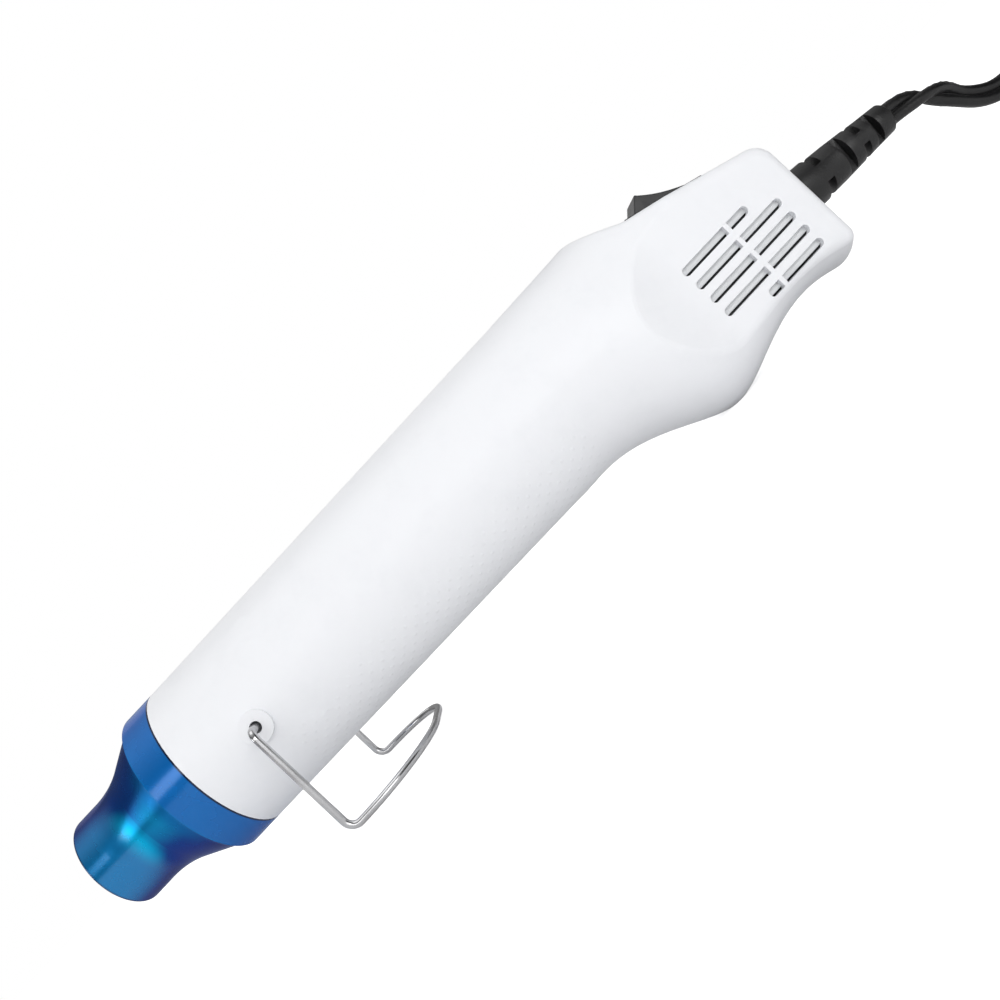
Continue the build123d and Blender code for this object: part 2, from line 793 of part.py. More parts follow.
# Circuit board with its rectifier diodes and capacitor
board_top = level.offset(-board_drop + board_thickness)
with BuildPart() as circuit_board:
    with BuildSketch(level.offset(-board_drop)):
        with Locations((board_front + board_length / 2, 0)):
            Rectangle(board_length, 2 * board_half_width)
    extrude(amount=board_thickness)
circuit_board.part.label = "circuit_board"
export_step(circuit_board.part, "parts/circuit_board.step")

with BuildPart() as diodes:
    for row in range(4):
        diode_y = (row - 1.5) * diode_pitch
        diode_plane = across(board_front + diode_length)
        with BuildSketch(diode_plane):
            with Locations((diode_y, -board_drop + board_thickness + diode_r)):
                Circle(diode_r)
        extrude(amount=diode_length)
diodes.part.label = "diodes"
export_step(diodes.part, "parts/diodes.step")

with BuildPart() as capacitor:
    with BuildSketch(board_top):
        with Locations((board_front + board_length - capacitor_size[1], 0)):
            RectangleRounded(capacitor_size[1], capacitor_size[0], capacitor_size[1] / 4)
    extrude(amount=capacitor_size[2])
    fillet(capacitor.faces().sort_by(Axis.Z)[-1].edges(), capacitor_size[1] / 8)
capacitor.part.label = "capacitor"
export_step(capacitor.part, "parts/capacitor.step")

# Switch: bezel and body in one moulding, with the well that the rocker tips in
switch_side = Plane(origin=switch_plane.origin, x_dir=switch_plane.x_dir, z_dir=(0, -1, 0))
with BuildPart() as switch_body_part:
    with BuildSketch(switch_plane):
        Rectangle(switch_bezel[0], switch_bezel[1])
    extrude(amount=switch_bezel[2], taper=bezel_taper)
    with BuildSketch(switch_plane):
        Rectangle(switch_body[0], switch_body[1])
    extrude(amount=-switch_body[2])
    with BuildSketch(switch_plane.offset(switch_wall - switch_body[2])):
        Rectangle(2 * (rocker_r + rocker_gap), rocker_width + 2 * rocker_gap)
    extrude(amount=overrun, mode=Mode.SUBTRACT)
    # Pivot pins on both side walls of the well
    with BuildSketch(switch_side.offset(-rocker_width / 2 - rocker_gap)):
        with Locations((0, -rocker_pivot_drop)):
            Circle(rocker_pin_r)
    extrude(amount=rocker_width / 5)
    with BuildSketch(switch_side.offset(rocker_width / 2 + rocker_gap)):
        with Locations((0, -rocker_pivot_drop)):
            Circle(rocker_pin_r)
    extrude(amount=-rocker_width / 5)
switch_body_part.part.label = "switch_body"
export_step(switch_body_part.part, "parts/switch_body.step")

with BuildPart() as switch_terminals:
    with BuildSketch(switch_plane.offset(-switch_body[2])):
        with Locations((-terminal_pitch / 2, 0), (terminal_pitch / 2, 0)):
            Rectangle(terminal_size[1], terminal_size[0])
    extrude(amount=-terminal_size[2])
switch_terminals.part.label = "switch_terminals"
export_step(switch_terminals.part, "parts/switch_terminals.step")

# Rocker: its ends keep inside a circle about the pivot, so that it turns freely in the well
with BuildPart() as rocker:
    with BuildSketch(switch_side.offset(-rocker_width / 2)):
        with BuildLine():
            front_up = rocker_front_rise + rocker_pivot_drop
            rear_up = rocker_rear_rise + rocker_pivot_drop
            front_top = (-sqrt(rocker_r**2 - front_up**2), rocker_front_rise)
            rear_top = (sqrt(rocker_r**2 - rear_up**2), rocker_rear_rise)
            front_foot = (-rocker_r, -rocker_pivot_drop)
            rear_foot = (rocker_r, -rocker_pivot_drop)
            pivot = (0, -rocker_pivot_drop)
            SagittaArc(front_top, rear_top, rocker_hollow)
            RadiusArc(rear_top, rear_foot, rocker_r)
            keel = -rocker_pivot_drop - rocker_keel
            Polyline(rear_foot, (rocker_r / 3, keel), (-rocker_r / 3, keel), front_foot, front_top)
        make_face()
    extrude(amount=rocker_width)
    with BuildSketch(switch_side.offset(-rocker_width / 2)):
        with Locations(pivot):
            Circle(rocker_pin_r + running_gap)
    extrude(amount=rocker_width, mode=Mode.SUBTRACT)
rocker.part.label = "rocker"
export_step(rocker.part, "parts/rocker.step")

# Grey plates behind the air slots
with BuildPart() as vent_screens:
    with BuildSketch(side.offset(-barrel_rear_r)):
        low = slot_top - (len(slot_ends) - 1) * slot_pitch - slot_width / 2 - screen_margin
        high = slot_top + slot_width / 2 + screen_margin
        with Locations(((slot_ends[1][0] + slot_ends[1][1]) / 2, (low + high) / 2)):
            Rectangle(slot_ends[1][1] - slot_ends[1][0] + 2 * screen_margin, high - low)
    extrude(amount=2 * barrel_rear_r)
    for reach, mode in ((screen_gap, Mode.INTERSECT), (screen_gap + screen_thickness, Mode.SUBTRACT)):
        with BuildSketch(level.offset(-axis_height)):
            front = slot_ends[1][0] - 2 * screen_margin
            rear = slot_ends[1][1] + 2 * screen_margin
            with BuildLine():
                front_y = cheek_y(front) - wall - reach
                rear_y = cheek_y(rear) - wall - reach
                Polyline((front, front_y), (rear, rear_y), (rear, -rear_y), (front, -front_y), close=True)
            make_face()
        extrude(amount=2 * axis_height, mode=mode)
    add(case_form(wall + screen_gap).part, mode=Mode.INTERSECT)
vent_screens.part.label = "vent_screens"
export_step(vent_screens.part, "parts/vent_screens.step")

# Strain relief: a flange inside the case, a neck through its rear wall, and a long sleeve
# that is notched from all sides in turn, so that it bends
relief_way = Vector(cos(radians(relief_droop)), 0, -sin(radians(relief_droop)))
relief_origin = Vector(seam_x + body_length, 0, axis_height + relief_height)


def along_relief(distance):
    """Plane square to the strain relief's drooping axis."""
    return Plane(origin=relief_origin + relief_way * distance, x_dir=(0, 1, 0), z_dir=relief_way)


with BuildPart() as strain_relief:
    with BuildSketch(across(body_length - wall - fit - relief_flange)):
        with Locations((0, relief_height)):
            Circle(relief_flange_r)
    extrude(amount=relief_flange)
    with BuildSketch(across(body_length - wall - fit)):
        with Locations((0, relief_height)):
            Circle(relief_neck_r)
    extrude(amount=wall + fit + plate)
    with BuildSketch(Plane(origin=relief_origin, x_dir=relief_way, z_dir=(0, -1, 0))):
        with BuildLine():
            Polyline(
                (plate, 0),
                (plate, relief_r),
                (relief_collar, relief_r),
                (relief_collar, relief_r - relief_step),
                (relief_length - relief_end_bevel, relief_end_r),
                (relief_length, relief_end_r - relief_end_bevel),
                (relief_length, 0),
                close=True,
            )
        make_face()
    revolve(axis=Axis(relief_origin, relief_way))
    for turn, (notch_start, notch_end) in enumerate(relief_notches):
        narrowing = (relief_r - relief_end_r) / relief_length
        relief_web = 2 * (relief_r - narrowing * notch_start) * relief_web_share
        with BuildSketch(along_relief(notch_start)):
            Rectangle(4 * relief_r, 4 * relief_r)
            if turn % 2:
                Rectangle(relief_web, 4 * relief_r, mode=Mode.SUBTRACT)
            else:
                Rectangle(4 * relief_r, relief_web, mode=Mode.SUBTRACT)
        extrude(amount=notch_end - notch_start, mode=Mode.SUBTRACT)
strain_relief.part.label = "strain_relief"
export_step(strain_relief.part, "parts/strain_relief.step")

# The lead's inner end, from the strain relief to just past the clamp
inner_rear = body_length - wall - fit - relief_flange
with BuildPart() as lead_inner_end:
    with BuildSketch(across(inner_rear - lead_inner_length)):
        with Locations((0, relief_height)):
            Circle(cord_d / 2 - fit)
    extrude(amount=lead_inner_length)
lead_inner_end.part.label = "lead_inner_end"
export_step(lead_inner_end.part, "parts/lead_inner_end.step")

clamp_foot = relief_height + cord_d / 2 - fit
with BuildPart() as cord_clamp:
    with BuildSketch(level.offset(clamp_foot)):
        with Locations((clamp_at, 0)):
            RectangleRounded(clamp_size[0], clamp_size[1], clamp_size[0] / 5)
    extrude(amount=clamp_size[2])
    with BuildSketch(level.offset(clamp_foot)):
        with Locations((clamp_at, clamp_screw_spacing / 2), (clamp_at, -clamp_screw_spacing / 2)):
            Circle(clamp_screw_r + fit)
    extrude(amount=clamp_size[2], mode=Mode.SUBTRACT)
cord_clamp.part.label = "cord_clamp"
export_step(cord_clamp.part, "parts/cord_clamp.step")

with BuildPart() as clamp_screws:
    with BuildSketch(level.offset(clamp_foot + clamp_size[2])):
        with Locations((clamp_at, clamp_screw_spacing / 2), (clamp_at, -clamp_screw_spacing / 2)):
            Circle(clamp_head_r)
    extrude(amount=clamp_head_height)
    with BuildSketch(level.offset(clamp_foot + clamp_size[2])):
        with Locations((clamp_at, clamp_screw_spacing / 2), (clamp_at, -clamp_screw_spacing / 2)):
            Circle(clamp_screw_r - running_gap)
    extrude(amount=-clamp_size[2] - clamp_post_hole / 2)
clamp_screws.part.label = "clamp_screws"
export_step(clamp_screws.part, "parts/clamp_screws.step")


def wire_through(points, bend_r, diameter, sides=0):
    """Wire along straight runs with rounded corners, round or with a many-sided section."""
    with BuildPart() as wire:
        with BuildLine() as route:
            FilletPolyline(*points, radius=bend_r)
        with BuildSketch(Plane(origin=route.line @ 0, z_dir=route.line % 0)):
            if sides:
                RegularPolygon(diameter / 2, sides)
            else:
                Circle(diameter / 2)
        sweep(path=route.line)
    return wire


def at(distance, sideways, height):
    """Point given behind the seam, beside the middle plane and over the tool's axis."""
    return Vector(seam_x + distance, sideways, axis_height + height)


# Leads from the board to the heater, which pass over the fan housing and the motor
lead_r = housing_drum_r + fit + heater_lead_d / 2
heater_lead_y = rib_half_height / 4
board_lead = board_top.origin.Z - axis_height + fit
with BuildPart() as heater_leads:
    for hand in (-1, 1):
        lead_top = sqrt(lead_r**2 - heater_lead_y**2)
        shoulder_y = tube_r / 2 + housing_wall
        shoulder = sqrt(lead_r**2 - shoulder_y**2)
        start_y = tube_r + cutout_r + fit / 2
        lead = wire_through(
            (
                at(cutout_at + cutout_length + running_gap, hand * start_y, 0),
                at(cutout_at + cutout_length + heater_lead_bend / 2, hand * start_y, 0),
                at(housing_collar[0], hand * (start_y + heater_lead_d / 2), tube_r * 2 / 3),
                at(housing_collar[1], hand * shoulder_y, shoulder),
                at(rib_places[0], hand * heater_lead_y, lead_top),
                at(board_front - heater_lead_bend, hand * heater_lead_y, lead_top),
                at(board_front + heater_lead_bend / 3, hand * heater_lead_y, lead_top / 2),
                at(board_front + heater_lead_bend / 3, hand * heater_lead_y, board_lead),
            ),
            heater_lead_bend / 3,
            heater_lead_d,
            core_sides,
        )
        add(lead.part)
heater_leads.part.label = "heater_leads"
export_step(heater_leads.part, "parts/heater_leads.step")

# Leads from the mains lead to the switch and the board
terminal_foot = -switch_body[2] - terminal_size[2]
rear_terminal = switch_plane.from_local_coords(Vector(terminal_pitch / 2, 0, terminal_foot))
front_terminal = switch_plane.from_local_coords(Vector(-terminal_pitch / 2, 0, terminal_foot))
inner_front = inner_rear - lead_inner_length
core_y = cord_d / 4
with BuildPart() as supply_leads:
    switched = wire_through(
        (
            at(inner_front - running_gap, core_y, relief_height),
            Vector(rear_terminal.X, core_y, axis_height + relief_height),
            Vector(rear_terminal.X, core_y, rear_terminal.Z - fit),
        ),
        lead_core_d,
        lead_core_d,
        core_sides,
    )
    add(switched.part)
    back = wire_through(
        (
            at(inner_front - running_gap, -core_y, relief_height),
            at(board_front + board_length + 2 * lead_core_d, -core_y, relief_height),
            at(board_front + board_length + fit, -core_y, -board_drop + board_thickness / 2),
        ),
        lead_core_d,
        lead_core_d / 2,
        core_sides,
    )
    add(back.part)
    feed = wire_through(
        (
            Vector(front_terminal.X, core_y, front_terminal.Z - fit),
            Vector(front_terminal.X, core_y, axis_height - board_drop + board_thickness / 2),
            at(board_front + board_length + fit, core_y, -board_drop + board_thickness / 2),
        ),
        lead_core_d,
        lead_core_d / 2,
        core_sides,
    )
    add(feed.part)
supply_leads.part.label = "supply_leads"
export_step(supply_leads.part, "parts/supply_leads.step")

# Wire stand, one rod: pins in both holes, straight legs, and a foot that bows rearwards
stand_foot = stand_wire_d / 2 - axis_height
bail_stand = wire_through(
    (
        at(stand_pivot[0], -stand_pin_inner, stand_pivot[1]),
        at(stand_pivot[0], -stand_half_width, stand_pivot[1]),
        at(stand_pivot[0], -stand_half_width, stand_foot),
        at(stand_pivot[0] + stand_reach, -stand_half_width, stand_foot),
        at(stand_pivot[0] + stand_reach, stand_half_width, stand_foot),
        at(stand_pivot[0], stand_half_width, stand_foot),
        at(stand_pivot[0], stand_half_width, stand_pivot[1]),
        at(stand_pivot[0], stand_pin_inner, stand_pivot[1]),
    ),
    (
        stand_shoulder_r,
        stand_ankle_r,
        stand_loop_r,
        stand_loop_r,
        stand_ankle_r,
        stand_shoulder_r,
    ),
    stand_wire_d,
)
bail_stand.part.label = "bail_stand"
export_step(bail_stand.part, "parts/bail_stand.step")

# Put-away coil of the lead: its layers spiral in and out by turns, with half a turn of climb after each,
# and the last climb ends over the coil, at the height of the plug that lies on it
coil_floor = cord_d / 2 + tie_thickness + tie_gap
coil_outer_r = coil_mid_r + coil_layer_turns * coil_turn_pitch / 2
coil_inner_r = coil_outer_r - coil_layer_turns * coil_turn_pitch
coil_layers = len(coil_layer_rises)
coil_turns = coil_layers * (coil_layer_turns + 1 / 2)


def coil_place(mark):
    """Point of the coil's middle line after a number of turns."""
    layer = min(max(int(mark / (coil_layer_turns + 1 / 2)), 0), coil_layers - 1)
    wound = mark - layer * (coil_layer_turns + 1 / 2)
    past = max(wound - coil_layer_turns, 0)
    inward = coil_turn_pitch * (min(wound, coil_layer_turns) + past - 2 * past**2)
    radius = coil_inner_r + inward if layer % 2 else coil_outer_r - inward
    climb = min(2 * past, 1)
    angle = pi / 2 - 2 * pi * mark
    return Vector(
        coil_centre[0] + radius * cos(angle),
        coil_centre[1] + radius * sin(angle),
        coil_floor + sum(coil_layer_rises[:layer]) + coil_layer_rises[layer] * climb**2 * (3 - 2 * climb),
    )


coil_path, coil_start, coil_way, coil_end, end_way = wind(
    coil_place, coil_turns, coil_steps, cord_d
)
cord_coil = tube_along(coil_path, coil_start, coil_way, cord_d, cord_sides)
cord_coil.part.label = "cord_coil"
export_step(cord_coil.part, "parts/cord_coil.step")
print("cord coil, least gap", round(self_gap(coil_path, cord_d, 2 * pi * coil_inner_r), 2))

# Free stretch of the lead, from the strain relief to the coil. Its points are chosen by hand.
relief_end = relief_origin + relief_way * relief_length
cord_route = (
    tuple(relief_end),
    (151.6, 0.0, 19.9),
    (160.5, 0.5, 15.9),
    (168.3, 0.9, 9.9),
    (176.3, 0.9, 5.3),
    (184.7, 1.3, 3.7),
    (192.5, 4.0, 3.7),
    (199.4, 8.9, 3.7),
    (207.0, 17.7, 3.7),
    (213.9, 22.4, 3.7),
    tuple(coil_start - coil_way * cord_d * 9 / 5),
    tuple(coil_start),
)


def route_radii(points):
    """Largest radius at each corner of a route that its two runs leave room for."""
    radii = []
    for before, here, after in zip(points, points[1:], points[2:]):
        first = Vector(here) - Vector(before)
        second = Vector(after) - Vector(here)
        half_turn = radians(first.get_angle(second)) / 2
        radii.append(route_share * min(first.length, second.length) / tan(half_turn))
    return radii


cord_radii = route_radii(cord_route)
print("cord radii", [round(radius, 1) for radius in cord_radii])
with BuildPart() as power_cord:
    with BuildLine() as cord_line:
        FilletPolyline(*cord_route, radius=cord_radii)
    with BuildSketch(Plane(origin=cord_line.line @ 0, z_dir=cord_line.line % 0)):
        Circle(cord_d / 2)
    sweep(path=cord_line.line)
power_cord.part.label = "power_cord"
export_step(power_cord.part, "parts/power_cord.step")
cord_free = cord_line.wire().length
cord_section = pi * cord_d**2 / 4
print("power cord, volume over section times length", power_cord.part.volume / (cord_section * cord_free))
print("lengths", round(cord_free), round(coil_path.wire().length), round(tail_lead))

# Tie round the coil, on the side towards the tool
tie_in = coil_inner_r + coil_turn_pitch / 4 - cord_d / 2 - tie_gap
tie_out = coil_outer_r + coil_turn_pitch / 8 + cord_d / 2 + tie_gap
tie_low = tie_thickness
tie_high = coil_floor + sum(coil_layer_rises[:-1]) + cord_d / 2 + tie_gap
with BuildPart() as cord_tie:
    tie_plane = Plane(
        origin=(coil_centre[0] - (tie_in + tie_out) / 2, coil_centre[1], (tie_low + tie_high) / 2),
        x_dir=(1, 0, 0),
        z_dir=(0, -1, 0),
    )
    with BuildSketch(tie_plane.offset(-tie_width / 2)):
        RectangleRounded(
            tie_out - tie_in + 2 * tie_thickness,
            tie_high - tie_low + 2 * tie_thickness,
            cord_d / 2,
        )
        RectangleRounded(
            tie_out - tie_in,
            tie_high - tie_low,
            cord_d / 2 - tie_thickness,
            mode=Mode.SUBTRACT,
        )
    extrude(amount=tie_width)
cord_tie.part.label = "cord_tie"
export_step(cord_tie.part, "parts/cord_tie.step")

# Last straight stretch, plug and blades, on the coil
def along_plug(distance):
    """Plane square to the plug's axis, at a distance past the coil's end."""
    sideways = end_way.cross(Vector(0, 0, 1))
    return Plane(origin=coil_end + end_way * distance, x_dir=sideways, z_dir=end_way)


with BuildPart() as plug_cord:
    with BuildSketch(along_plug(0)):
        Circle(cord_d / 2)
    extrude(amount=tail_lead)
plug_cord.part.label = "plug_cord"
export_step(plug_cord.part, "parts/plug_cord.step")

with BuildPart() as plug:
    with BuildSketch(along_plug(tail_lead)):
        Circle(plug_relief_r[0])
    with BuildSketch(along_plug(tail_lead + plug_relief_length)):
        Circle(plug_relief_r[1])
    loft(ruled=True)
    body_start = tail_lead + plug_relief_length - plate
    with BuildSketch(along_plug(body_start)):
        RectangleRounded(plug_body[1] * plug_back_share, plug_thickness * plug_back_share, plug_back_r)
    with BuildSketch(along_plug(body_start + plug_body[0] - plug_face)):
        RectangleRounded(plug_body[1], plug_thickness, plug_back_r)
    with BuildSketch(along_plug(body_start + plug_body[0])):
        RectangleRounded(plug_body[1], plug_thickness, plug_back_r)
    loft(ruled=True)
    blade_places = ((-blade_spacing / 2, 0), (blade_spacing / 2, 0))
    with BuildSketch(along_plug(body_start + plug_body[0] - blade_root)):
        with Locations(*blade_places):
            Rectangle(blade_size[1], blade_size[2])
    extrude(amount=blade_root, mode=Mode.SUBTRACT)
plug.part.label = "plug_body"
export_step(plug.part, "parts/plug_body.step")

with BuildPart() as plug_blades:
    with BuildSketch(along_plug(body_start + plug_body[0] - blade_root)):
        with Locations(*blade_places):
            Rectangle(blade_size[1], blade_size[2])
    extrude(amount=blade_root + blade_size[0])
    blade_side = Plane(
        origin=coil_end + end_way * (body_start + plug_body[0] + blade_size[0] - blade_size[2] / 2),
        x_dir=end_way,
        z_dir=end_way.cross(Vector(0, 0, 1)),
    )
    with BuildSketch(blade_side.offset(-blade_spacing)):
        Circle(blade_hole_d / 2)
    extrude(amount=2 * blade_spacing, mode=Mode.SUBTRACT)
plug_blades.part.label = "plug_blades"
export_step(plug_blades.part, "parts/plug_blades.step")
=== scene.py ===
"""Embossing heat tool: the looks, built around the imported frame.

Lengths are metres in the frame of the part. Tables of places are in millimetres and are scaled by MM.
"""

import json
import math

import bpy
from mathutils import Matrix, Vector


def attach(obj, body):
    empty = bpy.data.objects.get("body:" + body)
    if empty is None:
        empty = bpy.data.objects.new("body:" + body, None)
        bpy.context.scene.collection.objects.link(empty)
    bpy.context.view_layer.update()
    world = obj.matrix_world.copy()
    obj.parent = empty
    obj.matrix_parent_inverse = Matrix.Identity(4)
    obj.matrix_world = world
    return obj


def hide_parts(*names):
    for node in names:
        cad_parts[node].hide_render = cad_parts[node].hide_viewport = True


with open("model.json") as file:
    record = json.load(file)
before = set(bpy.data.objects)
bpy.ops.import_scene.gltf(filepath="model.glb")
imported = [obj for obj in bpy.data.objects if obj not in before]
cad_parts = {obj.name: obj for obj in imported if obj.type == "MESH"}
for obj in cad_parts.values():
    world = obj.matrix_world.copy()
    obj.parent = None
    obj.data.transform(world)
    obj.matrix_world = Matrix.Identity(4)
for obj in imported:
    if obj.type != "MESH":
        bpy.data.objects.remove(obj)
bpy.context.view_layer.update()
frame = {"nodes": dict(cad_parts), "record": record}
nodes = frame["nodes"]

MM = 0.001

# ---------------------------------------------------------------- the tool's own measures

seam_x = -77.25 * MM
axis_height = 33.4 * MM
barrel_r = 21.0 * MM

# Grip pips, on the underside of the barrel: where they fade in and out
pips_front = (seam_x + 16.0 * MM, seam_x + 22.0 * MM)
pips_rear = (seam_x + 112.0 * MM, seam_x + 118.0 * MM)
pips_top = (axis_height - 13.0 * MM, axis_height - 3.0 * MM)

# Zones of the nozzle, as distances ahead of the seam between which one look turns into the next
# Seam: a thin band of painted shadow where the nozzle meets the body.
seam_shadow_band = (0.3 * MM, 0.6 * MM)
collar_end = (7.8 * MM, 9.2 * MM)
metal_start = (8.5 * MM, 10.0 * MM)
neck_start = (9.5 * MM, 14.0 * MM)
neck_end = (20.0 * MM, 26.0 * MM)
clear_start = (20.0 * MM, 25.0 * MM)
mouth_edge = (34.5 * MM, 35.2 * MM)

cord_width = 5.8 * MM
cord_core = 2.9 * MM

cord_points = [
    (144.130, 0.0, 20.555),
    (151.9, 0.6, 19.6),
    (159.7, 3.2, 14.7),
    (165.8, 6.6, 8.2),
    (173.6, 8.6, 3.9),
    (182.8, 9.4, 3.7),
    (191.5, 10.6, 3.7),
    (199.4, 13.6, 3.7),
    (207.0, 18.6, 3.7),
    (213.9, 22.4, 3.7),
]

lead_twist_start = 1.5 * MM
lead_twist_length = 24.0 * MM

coil_centre = (238.0, -11.5)
coil_outer_r = 36.0
coil_inner_r = 23.0
coil_turn_pitch = 6.5
coil_layer_turns = 2
coil_layer_rises = (6.5, 6.5, 10.7)
coil_floor = 3.7
coil_points_per_turn = 24
coil_lead = 5.8
coil_approach = 10.44
plug_lead = 3.0
plug_grip = 3.0


# ---------------------------------------------------------------- small helpers


def deselect():
    """Nothing stays selected, so an operator only acts on what is made next."""
    for thing in bpy.context.selected_objects:
        thing.select_set(False)


def mesh_piece(name, points, faces, body, finish, smooth_deg=40):
    """A piece from points and faces, shaded smooth up to an angle, riding on a body."""
    mesh = bpy.data.meshes.new(name)
    mesh.from_pydata(points, [], faces)
    mesh.update()
    piece = bpy.data.objects.new(name, mesh)
    bpy.context.scene.collection.objects.link(piece)
    deselect()
    piece.select_set(True)
    bpy.context.view_layer.objects.active = piece
    bpy.ops.object.mode_set(mode="EDIT")
    bpy.ops.mesh.select_all(action="SELECT")
    bpy.ops.mesh.normals_make_consistent(inside=False)
    bpy.ops.object.mode_set(mode="OBJECT")
    bpy.ops.object.shade_smooth_by_angle(angle=math.radians(smooth_deg))
    mesh.materials.append(finish)
    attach(piece, body)
    return piece


# ---------------------------------------------------------------- finishes


def node_group(name, inputs, outputs):
    """An empty shader node group with named sockets."""
    group = bpy.data.node_groups.new(name, "ShaderNodeTree")
    for kind, label, value in inputs:
        socket = group.interface.new_socket(name=label, in_out="INPUT", socket_type=kind)
        if value is not None:
            socket.default_value = value
    for kind, label in outputs:
        group.interface.new_socket(name=label, in_out="OUTPUT", socket_type=kind)
    source = group.nodes.new("NodeGroupInput")
    sink = group.nodes.new("NodeGroupOutput")
    return group, source, sink


def put(tree, kind, values=(), **settings):
    """A node with its settings, and values or links for its sockets."""
    node = tree.nodes.new(kind)
    for key, value in settings.items():
        setattr(node, key, value)
    for key, value in dict(values).items():
        socket = node.inputs[key]
        if isinstance(value, bpy.types.NodeSocket):
            tree.links.new(value, socket)
        else:
            socket.default_value = value
    return node


def maths(tree, operation, *values, clamp=False):
    """One Math node, as its output."""
    node = put(tree, "ShaderNodeMath", dict(enumerate(values)), operation=operation, use_clamp=clamp)
    return node.outputs[0]


def ramp(tree, value, low, high, out_low=0.0, out_high=1.0, smooth=True):
    """Value mapped from one range to another."""
    node = put(
        tree,
        "ShaderNodeMapRange",
        {"Value": value, "From Min": low, "From Max": high, "To Min": out_low, "To Max": out_high},
        interpolation_type="SMOOTHSTEP" if smooth else "LINEAR",
    )
    return node.outputs["Result"]


def mix_colour(tree, share, first, second, blend="MIX"):
    """Two colours mixed by a share."""
    node = tree.nodes.new("ShaderNodeMix")
    node.data_type = "RGBA"
    node.blend_type = blend
    for socket, value in ((node.inputs[0], share), (node.inputs[6], first), (node.inputs[7], second)):
        if isinstance(value, bpy.types.NodeSocket):
            tree.links.new(value, socket)
        else:
            socket.default_value = value
    return node.outputs[2]


def make_moulded_grain():
    """Fine surface of moulded plastic: a spark-eroded grain, slow sink marks and a faint change of shade."""
    group, source, sink = node_group(
        "moulded_grain",
        [
            ("NodeSocketVector", "Place", None),
            ("NodeSocketFloat", "Grain per metre", 2500.0),
            ("NodeSocketFloat", "Sink per metre", 45.0),
        ],
        [("NodeSocketFloat", "Grain"), ("NodeSocketFloat", "Sink"), ("NodeSocketFloat", "Smudge")],
    )
    place = source.outputs["Place"]
    grain = put(
        group,
        "ShaderNodeTexNoise",
        {"Vector": place, "Scale": source.outputs["Grain per metre"], "Detail": 3.0},
    )
    sink_marks = put(
        group,
        "ShaderNodeTexNoise",
        {"Vector": place, "Scale": source.outputs["Sink per metre"], "Detail": 1.0},
    )
    smudge = put(
        group, "ShaderNodeTexNoise", {"Vector": place, "Scale": 95.0, "Detail": 6.0, "Roughness": 0.7}
    )
    worn = ramp(group, smudge.outputs[0], 0.45, 0.72)
    group.links.new(grain.outputs[0], sink.inputs["Grain"])
    group.links.new(sink_marks.outputs[0], sink.inputs["Sink"])
    group.links.new(worn, sink.inputs["Smudge"])
    return group


def make_drawn_lines():
    """Fine lines along one direction of drawn or turned metal."""
    group, source, sink = node_group(
        "drawn_lines",
        [("NodeSocketVector", "Place", None), ("NodeSocketVector", "Density", (300.0, 9000.0, 9000.0))],
        [("NodeSocketFloat", "Lines"), ("NodeSocketFloat", "Stain")],
    )
    stretched = put(
        group,
        "ShaderNodeVectorMath",
        {0: source.outputs["Place"], 1: source.outputs["Density"]},
        operation="MULTIPLY",
    )
    lines = put(group, "ShaderNodeTexNoise", {"Vector": stretched.outputs[0], "Scale": 1.0, "Detail": 2.0})
    stain = put(
        group, "ShaderNodeTexNoise", {"Vector": source.outputs["Place"], "Scale": 140.0, "Detail": 5.0}
    )
    group.links.new(lines.outputs[0], sink.inputs["Lines"])
    group.links.new(ramp(group, stain.outputs[0], 0.4, 0.75), sink.inputs["Stain"])
    return group


def make_diamond_pips():
    """Tiny raised pips in a diamond lattice, wrapped round the barrel's axis."""
    group, source, sink = node_group(
        "diamond_pips",
        [
            ("NodeSocketVector", "Place", None),
            ("NodeSocketFloat", "Pitch", 0.0036),
            ("NodeSocketFloat", "Pip size", 0.26),
        ],
        [("NodeSocketFloat", "Pips")],
    )
    split = put(group, "ShaderNodeSeparateXYZ", {0: source.outputs["Place"]})
    x, y, z = split.outputs
    turn = maths(group, "ARCTAN2", y, maths(group, "SUBTRACT", z, axis_height))
    round_way = maths(group, "MULTIPLY", turn, barrel_r)
    places = []
    for sign in ("ADD", "SUBTRACT"):
        along = maths(group, "DIVIDE", maths(group, sign, x, round_way), source.outputs["Pitch"])
        cell = maths(group, "SUBTRACT", maths(group, "FRACT", along), 0.5)
        places.append(maths(group, "MULTIPLY", cell, cell))
    reach = maths(group, "SQRT", maths(group, "ADD", *places))
    pip = ramp(group, reach, 0.0, source.outputs["Pip size"], 1.0, 0.0)
    group.links.new(pip, sink.inputs["Pips"])
    return group


moulded_grain = make_moulded_grain()
drawn_lines = make_drawn_lines()
diamond_pips = make_diamond_pips()

case_colour = (0.865, 0.875, 0.900)
case_handled = (0.845, 0.856, 0.882)
pip_height = 0.09 * MM

# The collar pair is its colour and its colour on a stain. The neck and mouth pairs are painted highlight and
# painted shade: the first where the surface faces the eye, the second where it meets the eye at a slant.
collar_blues = ((0.0, 0.135, 0.46, 1.0), (0.0, 0.17, 0.52, 1.0))
neck_painted_glow_blues = ((0.0, 0.50, 0.85, 1.0), (0.004, 0.06, 0.26, 1.0))
mouth_painted_sheen_blues = ((0.0, 0.20, 0.50, 1.0), (0.004, 0.05, 0.22, 1.0))
seam_shadow_and_rim_navy = (0.002, 0.01, 0.04, 1.0)


def new_finish(name, colour, rough, metal=0.0, **extra):
    """A material with a Principled shader, its object coordinates, and the plain values set on the shader."""
    finish = bpy.data.materials.new(name)
    finish.use_nodes = True
    tree = finish.node_tree
    shader = tree.nodes["Principled BSDF"]
    shader.inputs["Base Color"].default_value = (*colour, 1.0)
    shader.inputs["Roughness"].default_value = rough
    shader.inputs["Metallic"].default_value = metal
    for key, value in extra.items():
        shader.inputs[key.replace("_", " ")].default_value = value
    place = tree.nodes.new("ShaderNodeTexCoord").outputs["Object"]
    return finish, tree, shader, place


